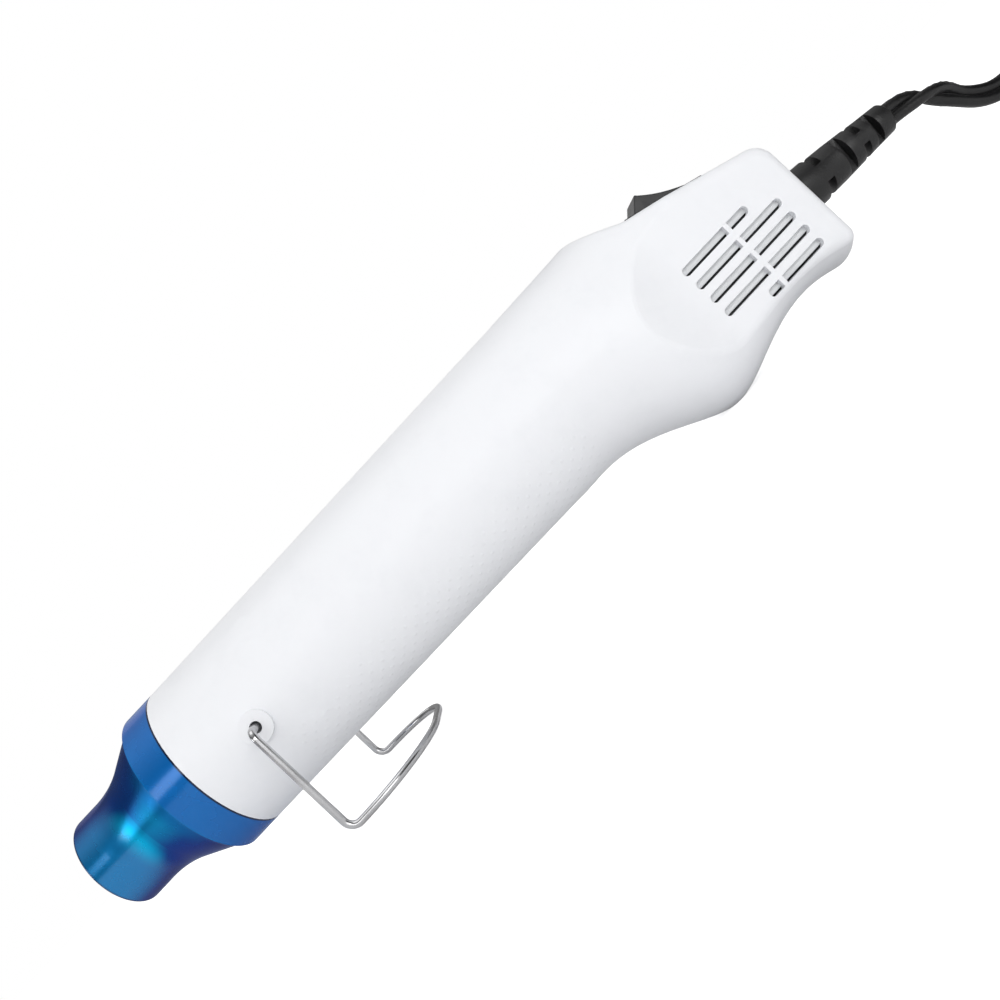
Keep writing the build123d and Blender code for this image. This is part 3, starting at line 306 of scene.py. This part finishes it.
def use(tree, group, **values):
    """A node group placed in a material."""
    node = tree.nodes.new("ShaderNodeGroup")
    node.node_tree = group
    for key, value in values.items():
        socket = node.inputs[key.replace("_", " ")]
        if isinstance(value, bpy.types.NodeSocket):
            tree.links.new(value, socket)
        else:
            socket.default_value = value
    return node


def bump(tree, shader, height, distance, strength=1.0, under=None):
    """A Bump node between a height and the shader's normal."""
    node = put(tree, "ShaderNodeBump", {"Height": height, "Distance": distance, "Strength": strength})
    if under is not None:
        tree.links.new(under, node.inputs["Normal"])
    tree.links.new(node.outputs[0], shader.inputs["Normal"])
    return node.outputs[0]


def moulded(name, colour, rough, grain_depth=0.00002, sink_depth=0.0004, smudge=0.1, tint=0.06, **extra):
    """Moulded plastic or rubber: grain, sink marks, handled patches that shine differently."""
    finish, tree, shader, place = new_finish(name, colour, rough, **extra)
    grain = use(tree, moulded_grain, Place=place)
    paler = tuple(min(1.0, c * (1 + tint) + 0.004) for c in colour)
    shade = mix_colour(tree, grain.outputs["Smudge"], (*colour, 1.0), (*paler, 1.0))
    tree.links.new(shade, shader.inputs["Base Color"])
    tree.links.new(
        ramp(tree, grain.outputs["Smudge"], 0.0, 1.0, rough, rough + smudge), shader.inputs["Roughness"]
    )
    low = bump(tree, shader, grain.outputs["Sink"], sink_depth)
    bump(tree, shader, grain.outputs["Grain"], grain_depth, under=low)
    return finish


def metal(name, colour, rough, density=(300.0, 9000.0, 9000.0), depth=0.000004, stain=0.12, **extra):
    """Bare or plated metal: drawn lines, faint stains."""
    finish, tree, shader, place = new_finish(name, colour, rough, 1.0, **extra)
    lines = use(tree, drawn_lines, Place=place, Density=density)
    dark = tuple(c * 0.82 for c in colour)
    shade = mix_colour(tree, lines.outputs["Stain"], (*colour, 1.0), (*dark, 1.0))
    tree.links.new(shade, shader.inputs["Base Color"])
    dulled = ramp(tree, lines.outputs["Stain"], 0.0, 1.0, rough, rough + stain)
    tree.links.new(dulled, shader.inputs["Roughness"])
    bump(tree, shader, lines.outputs["Lines"], depth)
    return finish


def case_finish():
    """Cool white satin plastic, with the pips on the lower part of the barrel."""
    finish, tree, shader, place = new_finish("case_white", case_colour, 0.46, Specular_IOR_Level=0.4)
    grain = use(tree, moulded_grain, Place=place)
    pips = use(tree, diamond_pips, Place=place)
    split = put(tree, "ShaderNodeSeparateXYZ", {0: place})
    x, y, z = split.outputs
    under = ramp(tree, z, *pips_top, 1.0, 0.0)
    front = ramp(tree, x, *pips_front)
    rear = ramp(tree, x, *pips_rear, 1.0, 0.0)
    gripped = maths(tree, "MULTIPLY", maths(tree, "MULTIPLY", under, front), rear)
    raised = maths(tree, "MULTIPLY", gripped, pips.outputs["Pips"])
    shade = mix_colour(tree, grain.outputs["Smudge"], (*case_colour, 1.0), (*case_handled, 1.0))
    tree.links.new(shade, shader.inputs["Base Color"])
    tree.links.new(ramp(tree, grain.outputs["Smudge"], 0.0, 1.0, 0.43, 0.53), shader.inputs["Roughness"])
    low = bump(tree, shader, grain.outputs["Sink"], 0.0002)
    middle = bump(tree, shader, grain.outputs["Grain"], 0.000012, under=low)
    bump(tree, shader, raised, pip_height, under=middle)
    return finish


def nozzle_finish():
    """Blue anodised metal: royal blue collar; a neck with a painted cyan highlight where it faces the eye,
    going to painted navy shade where it turns away; a mouth painted lighter where it faces the eye and darker
    at a slant; a painted shadow line at the seam with the body and a darker mouth edge; and a clear coat on
    collar and mouth.
    """
    finish, tree, shader, place = new_finish(
        "nozzle_blue",
        (0.0, 0.10, 0.42),
        0.26,
        0.6,
        Coat_Roughness=0.16,
        Coat_IOR=1.7,
        Specular_Tint=(0.02, 0.12, 0.35, 1.0),
        Specular_IOR_Level=0.3,
    )
    split = put(tree, "ShaderNodeSeparateXYZ", {0: place})
    ahead = maths(tree, "SUBTRACT", seam_x, split.outputs[0])
    turned = tree.nodes.new("ShaderNodeLayerWeight").outputs["Facing"]
    lines = use(tree, drawn_lines, Place=place, Density=(9000.0, 400.0, 400.0))

    collar = ramp(tree, ahead, *collar_end, 1.0, 0.0)
    neck = maths(tree, "MULTIPLY", ramp(tree, ahead, *neck_start), ramp(tree, ahead, *neck_end, 1.0, 0.0))
    stained = maths(tree, "MULTIPLY", lines.outputs["Stain"], 0.25)
    royal = mix_colour(tree, stained, *collar_blues)
    # Painted highlight and painted shade on the neck and mouth: lighter where the surface faces the eye,
    # darker at a slant.
    mouth_painted_sheen = mix_colour(tree, ramp(tree, turned, 0.25, 0.70), *mouth_painted_sheen_blues)
    neck_painted_glow = mix_colour(tree, ramp(tree, turned, 0.30, 0.52), *neck_painted_glow_blues)
    shade = mix_colour(tree, collar, mix_colour(tree, neck, mouth_painted_sheen, neck_painted_glow), royal)
    # Painted shadow: dark navy in a thin band at the seam with the body; the colour also goes half way to
    # navy towards the mouth's edge.
    seam_shadow_and_dark_rim = maths(
        tree,
        "ADD",
        ramp(tree, ahead, *seam_shadow_band, 1.0, 0.0),
        ramp(tree, ahead, *mouth_edge, 0.0, 0.5),
        clamp=True,
    )
    tree.links.new(mix_colour(tree, seam_shadow_and_dark_rim, shade, seam_shadow_and_rim_navy), shader.inputs["Base Color"])

    tree.links.new(ramp(tree, ahead, *metal_start, 0.35, 0.65), shader.inputs["Metallic"])
    away = ramp(tree, turned, 0.25, 0.8, 1.0, 0.0)
    mouth_coat = ramp(tree, ahead, *clear_start, 0.0, 0.6)
    clear = maths(tree, "ADD", maths(tree, "MULTIPLY", collar, 0.45), mouth_coat)
    tree.links.new(maths(tree, "MULTIPLY", clear, away), shader.inputs["Coat Weight"])
    dulled = ramp(tree, lines.outputs["Stain"], 0.0, 1.0, 0.24, 0.33)
    tree.links.new(dulled, shader.inputs["Roughness"])
    bump(tree, shader, lines.outputs["Lines"], 0.0000025)
    return finish


def mica_finish():
    """Mica board: layered, warm, with glints."""
    finish, tree, shader, place = new_finish("mica_board", (0.5, 0.4, 0.26), 0.35)
    flakes = put(tree, "ShaderNodeTexVoronoi", {"Vector": place, "Scale": 700.0})
    shade = mix_colour(tree, flakes.outputs["Distance"], (0.42, 0.33, 0.2, 1.0), (0.66, 0.56, 0.4, 1.0))
    tree.links.new(shade, shader.inputs["Base Color"])
    bump(tree, shader, flakes.outputs["Distance"], 0.00003)
    return finish


def woven_finish(name, colour, threads=1500.0):
    """Woven glass sleeve: two crossing sets of threads."""
    finish, tree, shader, place = new_finish(name, colour, 0.8)
    waves = []
    for turn in (0.6, -0.6):
        turned = put(tree, "ShaderNodeMapping", {"Vector": place, "Rotation": (0.0, turn, turn)})
        wave = put(
            tree, "ShaderNodeTexWave", {"Vector": turned.outputs[0], "Scale": threads}, wave_type="BANDS"
        )
        waves.append(wave.outputs["Fac"])
    weave = maths(tree, "MAXIMUM", *waves)
    dark = tuple(c * 0.6 for c in colour)
    shade = mix_colour(tree, weave, (*dark, 1.0), (*colour, 1.0))
    tree.links.new(shade, shader.inputs["Base Color"])
    bump(tree, shader, weave, 0.0001)
    return finish


case_white = case_finish()
nozzle_blue = nozzle_finish()
wire_steel = metal("stand_steel", (0.60, 0.60, 0.61), 0.16, density=(1500.0, 1500.0, 1500.0))
vent_grey = moulded("vent_grey", (0.74, 0.75, 0.76), 0.45)
# The screens behind the slots are near-black: painted shadow in the slots, around the pale slats.
vent_painted_shadow = moulded("vent_painted_shadow", (0.012, 0.012, 0.013), 0.7, tint=0.6)
switch_black = moulded("switch_black", (0.018, 0.018, 0.019), 0.42, grain_depth=0.00003, tint=0.5)
relief_black = moulded("relief_rubber", (0.009, 0.009, 0.0095), 0.36, grain_depth=0.00006, tint=0.7)
cord_black = moulded("cord_jacket", (0.007, 0.007, 0.0075), 0.32, grain_depth=0.00003, tint=0.6)
plug_black = moulded("plug_rubber", (0.018, 0.018, 0.019), 0.45, grain_depth=0.00005, tint=0.6)
blade_brass = metal("blade_plating", (0.70, 0.66, 0.55), 0.22)
tie_black = moulded("tie_black", (0.03, 0.03, 0.032), 0.5, grain_depth=0.00004, tint=0.5)
screw_zinc = metal("screw_zinc", (0.62, 0.62, 0.63), 0.25, density=(4000.0, 4000.0, 4000.0))
tube_steel = metal("tube_steel", (0.52, 0.50, 0.47), 0.3)
mica_board = mica_finish()
heating_wire = metal("heating_wire", (0.42, 0.39, 0.37), 0.42, density=(3000.0, 3000.0, 3000.0))
lead_sleeve = woven_finish("lead_sleeve", (0.82, 0.80, 0.74))
supply_red = moulded("supply_wire", (0.42, 0.015, 0.015), 0.35)
cutout_ceramic = moulded("cutout_ceramic", (0.74, 0.71, 0.64), 0.5)
housing_grey = moulded("housing_grey", (0.05, 0.05, 0.053), 0.48, tint=0.3)
fan_nylon = moulded("fan_nylon", (0.70, 0.69, 0.64), 0.4)
motor_steel = metal("motor_steel", (0.50, 0.50, 0.50), 0.3)
magnet_ferrite = moulded("magnet_ferrite", (0.05, 0.05, 0.05), 0.6, tint=0.4)
bare_brass = metal("bare_brass", (0.72, 0.52, 0.22), 0.28)
board_green = moulded("board_green", (0.02, 0.13, 0.045), 0.3, tint=0.3)
diode_black = moulded("diode_black", (0.02, 0.02, 0.02), 0.35, tint=0.4)
capacitor_orange = moulded("capacitor_orange", (0.55, 0.18, 0.02), 0.22)

finishes = {
    "case": case_white,
    "nozzle": nozzle_blue,
    "stand_wire": wire_steel,
    # The vent screens are near-black as painted shadow in the slots.
    "vent": vent_painted_shadow,
    "switch": switch_black,
    "relief_rubber": relief_black,
    "cord_jacket": cord_black,
    "plug": plug_black,
    "blades": blade_brass,
    "tie": tie_black,
    "screws": screw_zinc,
    "air_tube": tube_steel,
    "mica": mica_board,
    "heating_wire": heating_wire,
    "lead_sleeve": lead_sleeve,
    "supply_wire": supply_red,
    "cutout": cutout_ceramic,
    "housing": housing_grey,
    "fan": fan_nylon,
    "motor_steel": motor_steel,
    "magnet": magnet_ferrite,
    "brass": bare_brass,
    "board": board_green,
    "diode": diode_black,
    "capacitor": capacitor_orange,
}

slot_of = {row["node"]: row["material_slot"] for row in frame["record"]["subparts"]}
for name, node in nodes.items():
    finish = finishes[slot_of[name]]
    if node.data.materials:
        for place in range(len(node.data.materials)):
            node.data.materials[place] = finish
    else:
        node.data.materials.append(finish)

# ---------------------------------------------------------------- the lead


def coil_place(mark):
    """Point of the coil's middle line after a number of turns, in millimetres."""
    layer = min(int(mark / (coil_layer_turns + 0.5)), len(coil_layer_rises) - 1)
    wound = mark - layer * (coil_layer_turns + 0.5)
    past = max(wound - coil_layer_turns, 0)
    inward = coil_turn_pitch * (min(wound, coil_layer_turns) + past - 2 * past**2)
    radius = coil_inner_r + inward if layer % 2 else coil_outer_r - inward
    climb = min(2 * past, 1)
    angle = math.pi / 2 - 2 * math.pi * mark
    return Vector(
        (
            coil_centre[0] + radius * math.cos(angle),
            coil_centre[1] + radius * math.sin(angle),
            coil_floor + sum(coil_layer_rises[:layer]) + coil_layer_rises[layer] * climb**2 * (3 - 2 * climb),
        )
    )


def lead_route():
    """Control points of the lead: out of the relief, down to the table, round the coil, to the plug."""
    count = round(len(coil_layer_rises) * (coil_layer_turns + 0.5) * coil_points_per_turn)
    turns = [coil_place(k / coil_points_per_turn) for k in range(count + 1)]
    first_way = (coil_place(0.001) - coil_place(0)).normalized()
    last_mark = count / coil_points_per_turn
    last_way = (coil_place(last_mark) - coil_place(last_mark - 0.001)).normalized()
    start = turns[0] - first_way * coil_lead
    end = turns[-1] + last_way * coil_lead
    plug_entry = end + last_way * (plug_lead + plug_grip)
    points = [Vector(p) for p in cord_points]
    return [p * MM for p in (*points, start - first_way * coil_approach, start, *turns, end, plug_entry)]


def spline_points(name, route, resolution):
    """Points read from a NURBS spline with the route as its control points."""
    curve = bpy.data.curves.new(name + "_route", "CURVE")
    curve.dimensions = "3D"
    curve.resolution_u = resolution
    spline = curve.splines.new("NURBS")
    spline.points.add(len(route) - 1)
    for point, place in zip(spline.points, route):
        point.co = (*place, 1.0)
    spline.order_u = 3
    spline.use_endpoint_u = True
    holder = bpy.data.objects.new(name + "_route", curve)
    bpy.context.scene.collection.objects.link(holder)
    bpy.context.view_layer.update()
    read = bpy.data.meshes.new_from_object(holder.evaluated_get(bpy.context.evaluated_depsgraph_get()))
    points = [vertex.co.copy() for vertex in read.vertices]
    bpy.data.objects.remove(holder)
    bpy.data.curves.remove(curve)
    bpy.data.meshes.remove(read)
    return points


def twin_section(width, core, web=0.9 * MM, count=11):
    """Outline of a flat two-core cord, across its width (first) and its thickness (second)."""
    r = core / 2
    spread = width / 2 - r
    open_angle = math.asin(web / 2 / r)
    outline = []
    for side in (1, -1):
        for k in range(count):
            angle = (math.pi - open_angle) * (2 * k / (count - 1) - 1)
            outline.append((side * (spread + r * math.cos(angle)), side * r * math.sin(angle)))
    return outline


def tube_mesh(path, section, twist):
    """Rings of a section along a path. The section's width stands up, turned by the twist at each run."""
    rings = []
    run = 0.0
    for place, here in enumerate(path):
        before = path[max(place - 1, 0)]
        after = path[min(place + 1, len(path) - 1)]
        if place:
            run += (here - path[place - 1]).length
        along = (after - before).normalized()
        side = Vector((0, 0, 1)).cross(along).normalized()
        up = along.cross(side).normalized()
        turn = twist(run)
        wide = up * math.cos(turn) + side * math.sin(turn)
        thin = side * math.cos(turn) - up * math.sin(turn)
        rings.append([here + wide * across + thin * thick for across, thick in section])
    count = len(section)
    points = [p for ring in rings for p in ring]
    faces = []
    for ring in range(len(rings) - 1):
        for k in range(count):
            a = ring * count + k
            b = ring * count + (k + 1) % count
            faces.append((a, b, b + count, a + count))
    faces.append(tuple(range(count)))
    faces.append(tuple(range(len(points) - 1, len(points) - count - 1, -1)))
    return points, faces


lead_path = spline_points("lead", lead_route(), 5)


def lead_twist(run):
    """The lead turns over once between the relief and the table, and lies on its edge in the coil."""
    share = min(max((run - lead_twist_start) / lead_twist_length, 0.0), 1.0)
    return math.pi * share**2 * (3 - 2 * share)


lead_points, lead_faces = tube_mesh(lead_path, twin_section(cord_width, cord_core), lead_twist)
lead = mesh_piece("lead", lead_points, lead_faces, "root", cord_black, smooth_deg=50)
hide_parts("power_cord", "cord_coil", "plug_cord")

# ---------------------------------------------------------------- pieces over the frame


def settle(piece, body, finish, smooth_deg=35, bevel=0.0, bevel_steps=2):
    """A modelled piece gets its small edge radii, smooth shading, finish and body."""
    deselect()
    piece.select_set(True)
    bpy.context.view_layer.objects.active = piece
    bpy.ops.object.transform_apply(location=True, rotation=True, scale=True)
    bpy.ops.object.mode_set(mode="EDIT")
    bpy.ops.mesh.select_all(action="SELECT")
    bpy.ops.mesh.remove_doubles(threshold=0.000001)
    bpy.ops.mesh.normals_make_consistent(inside=False)
    bpy.ops.object.mode_set(mode="OBJECT")
    if bevel:
        edge = piece.modifiers.new("edge_radius", "BEVEL")
        edge.width = bevel
        edge.segments = bevel_steps
        edge.limit_method = "ANGLE"
        edge.angle_limit = math.radians(smooth_deg)
        edge.harden_normals = False
        bpy.ops.object.modifier_apply(modifier=edge.name)
    bpy.ops.object.shade_smooth_by_angle(angle=math.radians(smooth_deg))
    piece.data.materials.clear()
    piece.data.materials.append(finish)
    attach(piece, body)
    return piece


def plate_from_outline(name, outline, depth):
    """A disc primitive moved onto an outline of points, and extruded by a depth."""
    deselect()
    bpy.ops.mesh.primitive_circle_add(
        vertices=len(outline), radius=MM, fill_type="NGON", location=(0, 0, 0)
    )
    piece = bpy.context.object
    piece.name = name
    for vertex, place in zip(piece.data.vertices, outline):
        vertex.co = place
    bpy.ops.object.mode_set(mode="EDIT")
    bpy.ops.mesh.select_all(action="SELECT")
    bpy.ops.mesh.extrude_region_move(TRANSFORM_OT_translate={"value": depth})
    bpy.ops.object.mode_set(mode="OBJECT")
    return piece


switch_origin = Vector((90.351, 0, 44.676)) * MM
switch_along = Vector((0.9593, 0, -0.2823))
switch_out = Vector((0.2823, 0, 0.9593))
rocker_width = 10.4 * MM
rocker_profile = (
    (-9.45, -2.4),
    (-5.0, 5.62),
    (-4.3, 5.12),
    (-2.9, 4.45),
    (-1.2, 3.72),
    (0.8, 3.02),
    (3.0, 2.42),
    (5.2, 1.95),
    (7.2, 1.58),
    (8.85, 1.02),
    (9.25, -0.4),
    (9.42, -2.4),
    (3.1, -4.5),
    (-3.1, -4.5),
)
rocker_outline = [
    switch_origin + (switch_along * along + switch_out * out) * MM - Vector((0, rocker_width / 2, 0))
    for along, out in rocker_profile
]
rocker_cap = plate_from_outline("rocker_cap", rocker_outline, (0, rocker_width, 0))
settle(rocker_cap, "rocker", switch_black, smooth_deg=30, bevel=0.35 * MM, bevel_steps=3)
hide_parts("rocker")


relief_origin = Vector((112.75, 0, 23.3)) * MM
relief_way = Vector((math.cos(math.radians(5)), 0, -math.sin(math.radians(5))))
relief_up = Vector((math.sin(math.radians(5)), 0, math.cos(math.radians(5))))
relief_sides = 56
relief_profile = (
    (-4.35, 6.6),
    (-2.35, 6.6),
    (-2.35, 4.4),
    (0.15, 4.4),
    (0.15, 5.75),
    (1.2, 5.9),
    (8.0, 5.75),
    (9.6, 5.4),
    (14.6, 5.15),
    (20.2, 4.7),
    (24.6, 4.3),
    (28.6, 4.05),
    (30.7, 3.9),
    (31.3, 3.4),
    (31.5, 3.1),
)
relief_notches = ((8.1, 10.4), (15.2, 17.5), (20.6, 22.5), (24.9, 26.9))
relief_web_share = 0.50
relief_mean_r = 5.6
relief_web_taper = 0.06
relief_wall_end = 0.1
notch_depth = 9.0
notch_width = 18.0
relief_edge = 0.28 * MM


def relief_spot(distance):
    """Point on the strain relief's axis: straight through the wall, drooping behind it."""
    way = relief_way if distance > relief_wall_end else Vector((1, 0, 0))
    return relief_origin + way * distance * MM


def make_relief_sleeve():
    """Strain relief: a turned sleeve, with pairs of notches cut in turn from above and from the sides."""
    deselect()
    bpy.ops.mesh.primitive_grid_add(
        x_subdivisions=relief_sides, y_subdivisions=len(relief_profile) - 1, size=2.0, location=(0, 0, 0)
    )
    sleeve = bpy.context.object
    sleeve.name = "relief_sleeve"
    for vertex in sleeve.data.vertices:
        step = round((vertex.co.y + 1) / 2 * (len(relief_profile) - 1))
        distance, radius = relief_profile[step]
        angle = 2 * math.pi * round((vertex.co.x + 1) / 2 * relief_sides) / relief_sides
        out = relief_up if distance > relief_wall_end else Vector((0, 0, 1))
        spoke = out * math.cos(angle) + Vector((0, math.sin(angle), 0))
        vertex.co = relief_spot(distance) + spoke * radius * MM
    bpy.ops.object.mode_set(mode="EDIT")
    bpy.ops.mesh.select_all(action="SELECT")
    bpy.ops.mesh.remove_doubles(threshold=0.000001)
    bpy.ops.mesh.select_all(action="DESELECT")
    bpy.ops.mesh.select_non_manifold()
    bpy.ops.mesh.edge_face_add()
    bpy.ops.mesh.select_all(action="SELECT")
    bpy.ops.mesh.normals_make_consistent(inside=False)
    bpy.ops.object.mode_set(mode="OBJECT")
    cutters = []
    for turn, (start, end) in enumerate(relief_notches):
        web = relief_mean_r * relief_web_share - relief_web_taper * start
        for side in (1, -1):
            deselect()
            bpy.ops.mesh.primitive_cube_add(size=1.0, location=(0, 0, 0))
            cutter = bpy.context.object
            for vertex in cutter.data.vertices:
                along, across, out = vertex.co
                depth = side * (web + (out + 0.5) * notch_depth) * MM
                width = across * notch_width * MM
                middle = relief_spot((start + end) / 2 + along * (end - start))
                if turn % 2:
                    vertex.co = middle + Vector((0, depth, 0)) + relief_up * width
                else:
                    vertex.co = middle + relief_up * depth + Vector((0, width, 0))
            cutters.append(cutter)
    deselect()
    for cutter in cutters:
        cutter.select_set(True)
    bpy.context.view_layer.objects.active = cutters[0]
    bpy.ops.object.join()
    notches = bpy.context.object
    bpy.ops.object.mode_set(mode="EDIT")
    bpy.ops.mesh.select_all(action="SELECT")
    bpy.ops.mesh.normals_make_consistent(inside=False)
    bpy.ops.object.mode_set(mode="OBJECT")
    deselect()
    sleeve.select_set(True)
    bpy.context.view_layer.objects.active = sleeve
    cut = sleeve.modifiers.new("notches", "BOOLEAN")
    cut.operation = "DIFFERENCE"
    cut.solver = "EXACT"
    cut.object = notches
    bpy.ops.object.modifier_apply(modifier=cut.name)
    bpy.data.objects.remove(notches)
    return settle(sleeve, "root", relief_black, smooth_deg=32, bevel=relief_edge)


relief_sleeve = make_relief_sleeve()
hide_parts("strain_relief")


slot_width = 2.2 * MM
slot_pitch = 4.3 * MM
slot_top = axis_height - 3.4 * MM
slot_ends = ((154.7, 175.9), (154.7, 182.6), (154.7, 182.6), (154.7, 182.6), (164.9, 182.6))
slat_steps = 12
slat_depth = 0.9 * MM
# Strip of the black screen left showing under each slat: a painted shadow along the slot's lower edge.
shadow_strip_width = 0.55 * MM
slat_lap = 0.3 * MM
slat_sink = 0.1 * MM
slat_edge = 0.2 * MM
screen_half_width = 12.2 * MM
beside_case = 50.0 * MM


def vent_slats(side_name, hand):
    """Pale slats behind the air slots of one side, each leaving a strip of the black screen showing along its
    lower edge as a painted shadow.
    """
    screen = nodes["vent_screens"]
    made = []
    for row, (front, rear) in enumerate(slot_ends):
        middle = slot_top - row * slot_pitch
        low = middle - slot_width / 2 + shadow_strip_width
        high = middle + slot_width / 2 + slat_lap
        deselect()
        bpy.ops.mesh.primitive_grid_add(
            x_subdivisions=slat_steps, y_subdivisions=1, size=1.0, location=(0, 0, 0)
        )
        slat = bpy.context.object
        for vertex in slat.data.vertices:
            x = seam_x + (front + (vertex.co.x + 0.5) * (rear - front)) * MM
            z = high if vertex.co.y > 0 else low
            hit, spot, _, _ = screen.ray_cast(Vector((x, hand * beside_case, z)), Vector((0, -hand, 0)))
            y = spot.y if hit else hand * screen_half_width
            vertex.co = (x, y - hand * slat_sink, z)
        bpy.ops.object.mode_set(mode="EDIT")
        bpy.ops.mesh.select_all(action="SELECT")
        bpy.ops.mesh.extrude_region_move(TRANSFORM_OT_translate={"value": (0, hand * slat_depth, 0)})
        bpy.ops.object.mode_set(mode="OBJECT")
        made.append(slat)
    deselect()
    for slat in made:
        slat.select_set(True)
    bpy.context.view_layer.objects.active = made[0]
    bpy.ops.object.join()
    joined = bpy.context.object
    joined.name = "vent_slats_" + side_name
    return settle(joined, "root", vent_grey, bevel=slat_edge)


vent_slats("right", -1)
vent_slats("left", 1)

# ---------------------------------------------------------------- floor, background, lamps


floor_tones = ((0.86, 0.86, 0.865, 1.0), (0.84, 0.84, 0.845, 1.0))
floor_glow = 0.72
floor_mirrored = 0.1


def floor_finish():
    """Pale floor that reads as the white background to the eye, and keeps the tool's shadow."""
    finish, tree, shader, place = new_finish("studio_floor", floor_tones[0][:3], 0.75)
    speck = put(tree, "ShaderNodeTexNoise", {"Vector": place, "Scale": 60.0, "Detail": 4.0})
    shade = mix_colour(tree, speck.outputs[0], *floor_tones)
    tree.links.new(shade, shader.inputs["Base Color"])
    seen = tree.nodes.new("ShaderNodeLightPath")
    mirrored = maths(tree, "MULTIPLY", seen.outputs["Is Glossy Ray"], floor_mirrored)
    looked = maths(
        tree,
        "ADD",
        maths(tree, "ADD", seen.outputs["Is Camera Ray"], mirrored),
        seen.outputs["Is Transmission Ray"],
        clamp=True,
    )
    strength = maths(tree, "MULTIPLY", looked, floor_glow)
    glow = put(tree, "ShaderNodeEmission", {"Color": (1, 1, 1, 1), "Strength": strength})
    both = put(tree, "ShaderNodeAddShader", {0: shader.outputs[0], 1: glow.outputs[0]})
    tree.links.new(both.outputs[0], tree.nodes["Material Output"].inputs["Surface"])
    return finish


def make_floor():
    deselect()
    bpy.ops.mesh.primitive_grid_add(x_subdivisions=12, y_subdivisions=12, size=16.0, location=(0, 0, 0))
    floor = bpy.context.object
    floor.name = "studio_floor"
    floor.data.materials.append(floor_finish())
    return floor


world_light = 0.48
wall_glow = (0.07, 0.26)
ceiling_glow = 0.55


def make_world():
    """White to the eye, plainer where it lights the tool, and darker in its reflections."""
    world = bpy.data.worlds.new("studio")
    world.use_nodes = True
    tree = world.node_tree
    back = tree.nodes["Background"]
    seen = tree.nodes.new("ShaderNodeLightPath")
    way = put(tree, "ShaderNodeSeparateXYZ", {0: tree.nodes.new("ShaderNodeTexCoord").outputs["Generated"]})
    wall = ramp(tree, way.outputs["Y"], -0.4, 0.9, *wall_glow)
    ceiling = ramp(tree, way.outputs["Z"], 0.45, 0.95, 0.0, ceiling_glow)
    around = maths(tree, "ADD", wall, ceiling, clamp=True)
    mirrored = maths(tree, "MULTIPLY", seen.outputs["Is Glossy Ray"], around)
    looked = maths(
        tree, "ADD", seen.outputs["Is Camera Ray"], seen.outputs["Is Transmission Ray"], clamp=True
    )
    lighting = maths(tree, "MULTIPLY", seen.outputs["Is Diffuse Ray"], world_light)
    total = maths(tree, "ADD", maths(tree, "ADD", mirrored, looked), lighting, clamp=True)
    tree.links.new(total, back.inputs["Strength"])
    back.inputs["Color"].default_value = (1, 1, 1, 1)
    bpy.context.scene.world = world


def soft_lamp(name, place, aim, size, watts):
    """A rectangular soft lamp at a place, facing a point."""
    light = bpy.data.lights.new(name, "AREA")
    light.shape = "RECTANGLE"
    light.size, light.size_y = size
    light.energy = watts
    lamp = bpy.data.objects.new(name, light)
    bpy.context.scene.collection.objects.link(lamp)
    lamp.location = place
    lamp.rotation_euler = (Vector(aim) - Vector(place)).to_track_quat("-Z", "Y").to_euler()
    return lamp


tool_middle = (0.0, 0.0, 0.03)
nozzle_middle = (-0.09, 0.0, 0.03)
tail_middle = (0.09, 0.0, 0.03)
lamps = (
    ("key_front", (-0.10, -0.95, 0.36), (-0.01, 0.0, 0.03), (1.1, 0.24), 2.5),
    ("side_nozzle", (-0.97, -0.27, 0.26), nozzle_middle, (0.55, 0.26), 1.1),
    ("key_above", (0.0, -0.15, 0.95), tool_middle, (0.9, 0.5), 1.4),
    ("fill_tail", (0.30, -0.55, 0.22), tail_middle, (0.3, 0.3), 0.7),
    ("fill_low", (0.15, -0.95, 0.07), tool_middle, (1.3, 0.10), 0.6),
    ("rim_behind", (-0.2, 0.7, 0.5), tool_middle, (0.8, 0.4), 0.8),
)

make_floor()
make_world()
for lamp in lamps:
    soft_lamp(*lamp)

# ---------------------------------------------------------------- camera

picture_width = 1000.0
focal_pixels = 894.0
sensor_width = 36.0
camera_place = Vector((12.75, -215.3, 29.1)) * MM
picture_roll = math.atan2(0.730, 0.683)

camera_data = bpy.data.cameras.new("camera")
camera = bpy.data.objects.new("camera", camera_data)
bpy.context.scene.collection.objects.link(camera)
camera_data.sensor_width = sensor_width
camera_data.lens = focal_pixels * sensor_width / picture_width
camera_data.shift_x = 0.013
camera_data.shift_y = -0.009
camera_data.clip_start = 0.005
camera_data.clip_end = 40.0
right = Vector((math.cos(picture_roll), 0, -math.sin(picture_roll)))
up = Vector((math.sin(picture_roll), 0, math.cos(picture_roll)))
back = Vector((0, -1, 0))
camera.matrix_world = Matrix.Translation(camera_place) @ Matrix((right, up, back)).transposed().to_4x4()
bpy.context.scene.camera = camera
bpy.context.scene.view_settings.view_transform = "Standard"
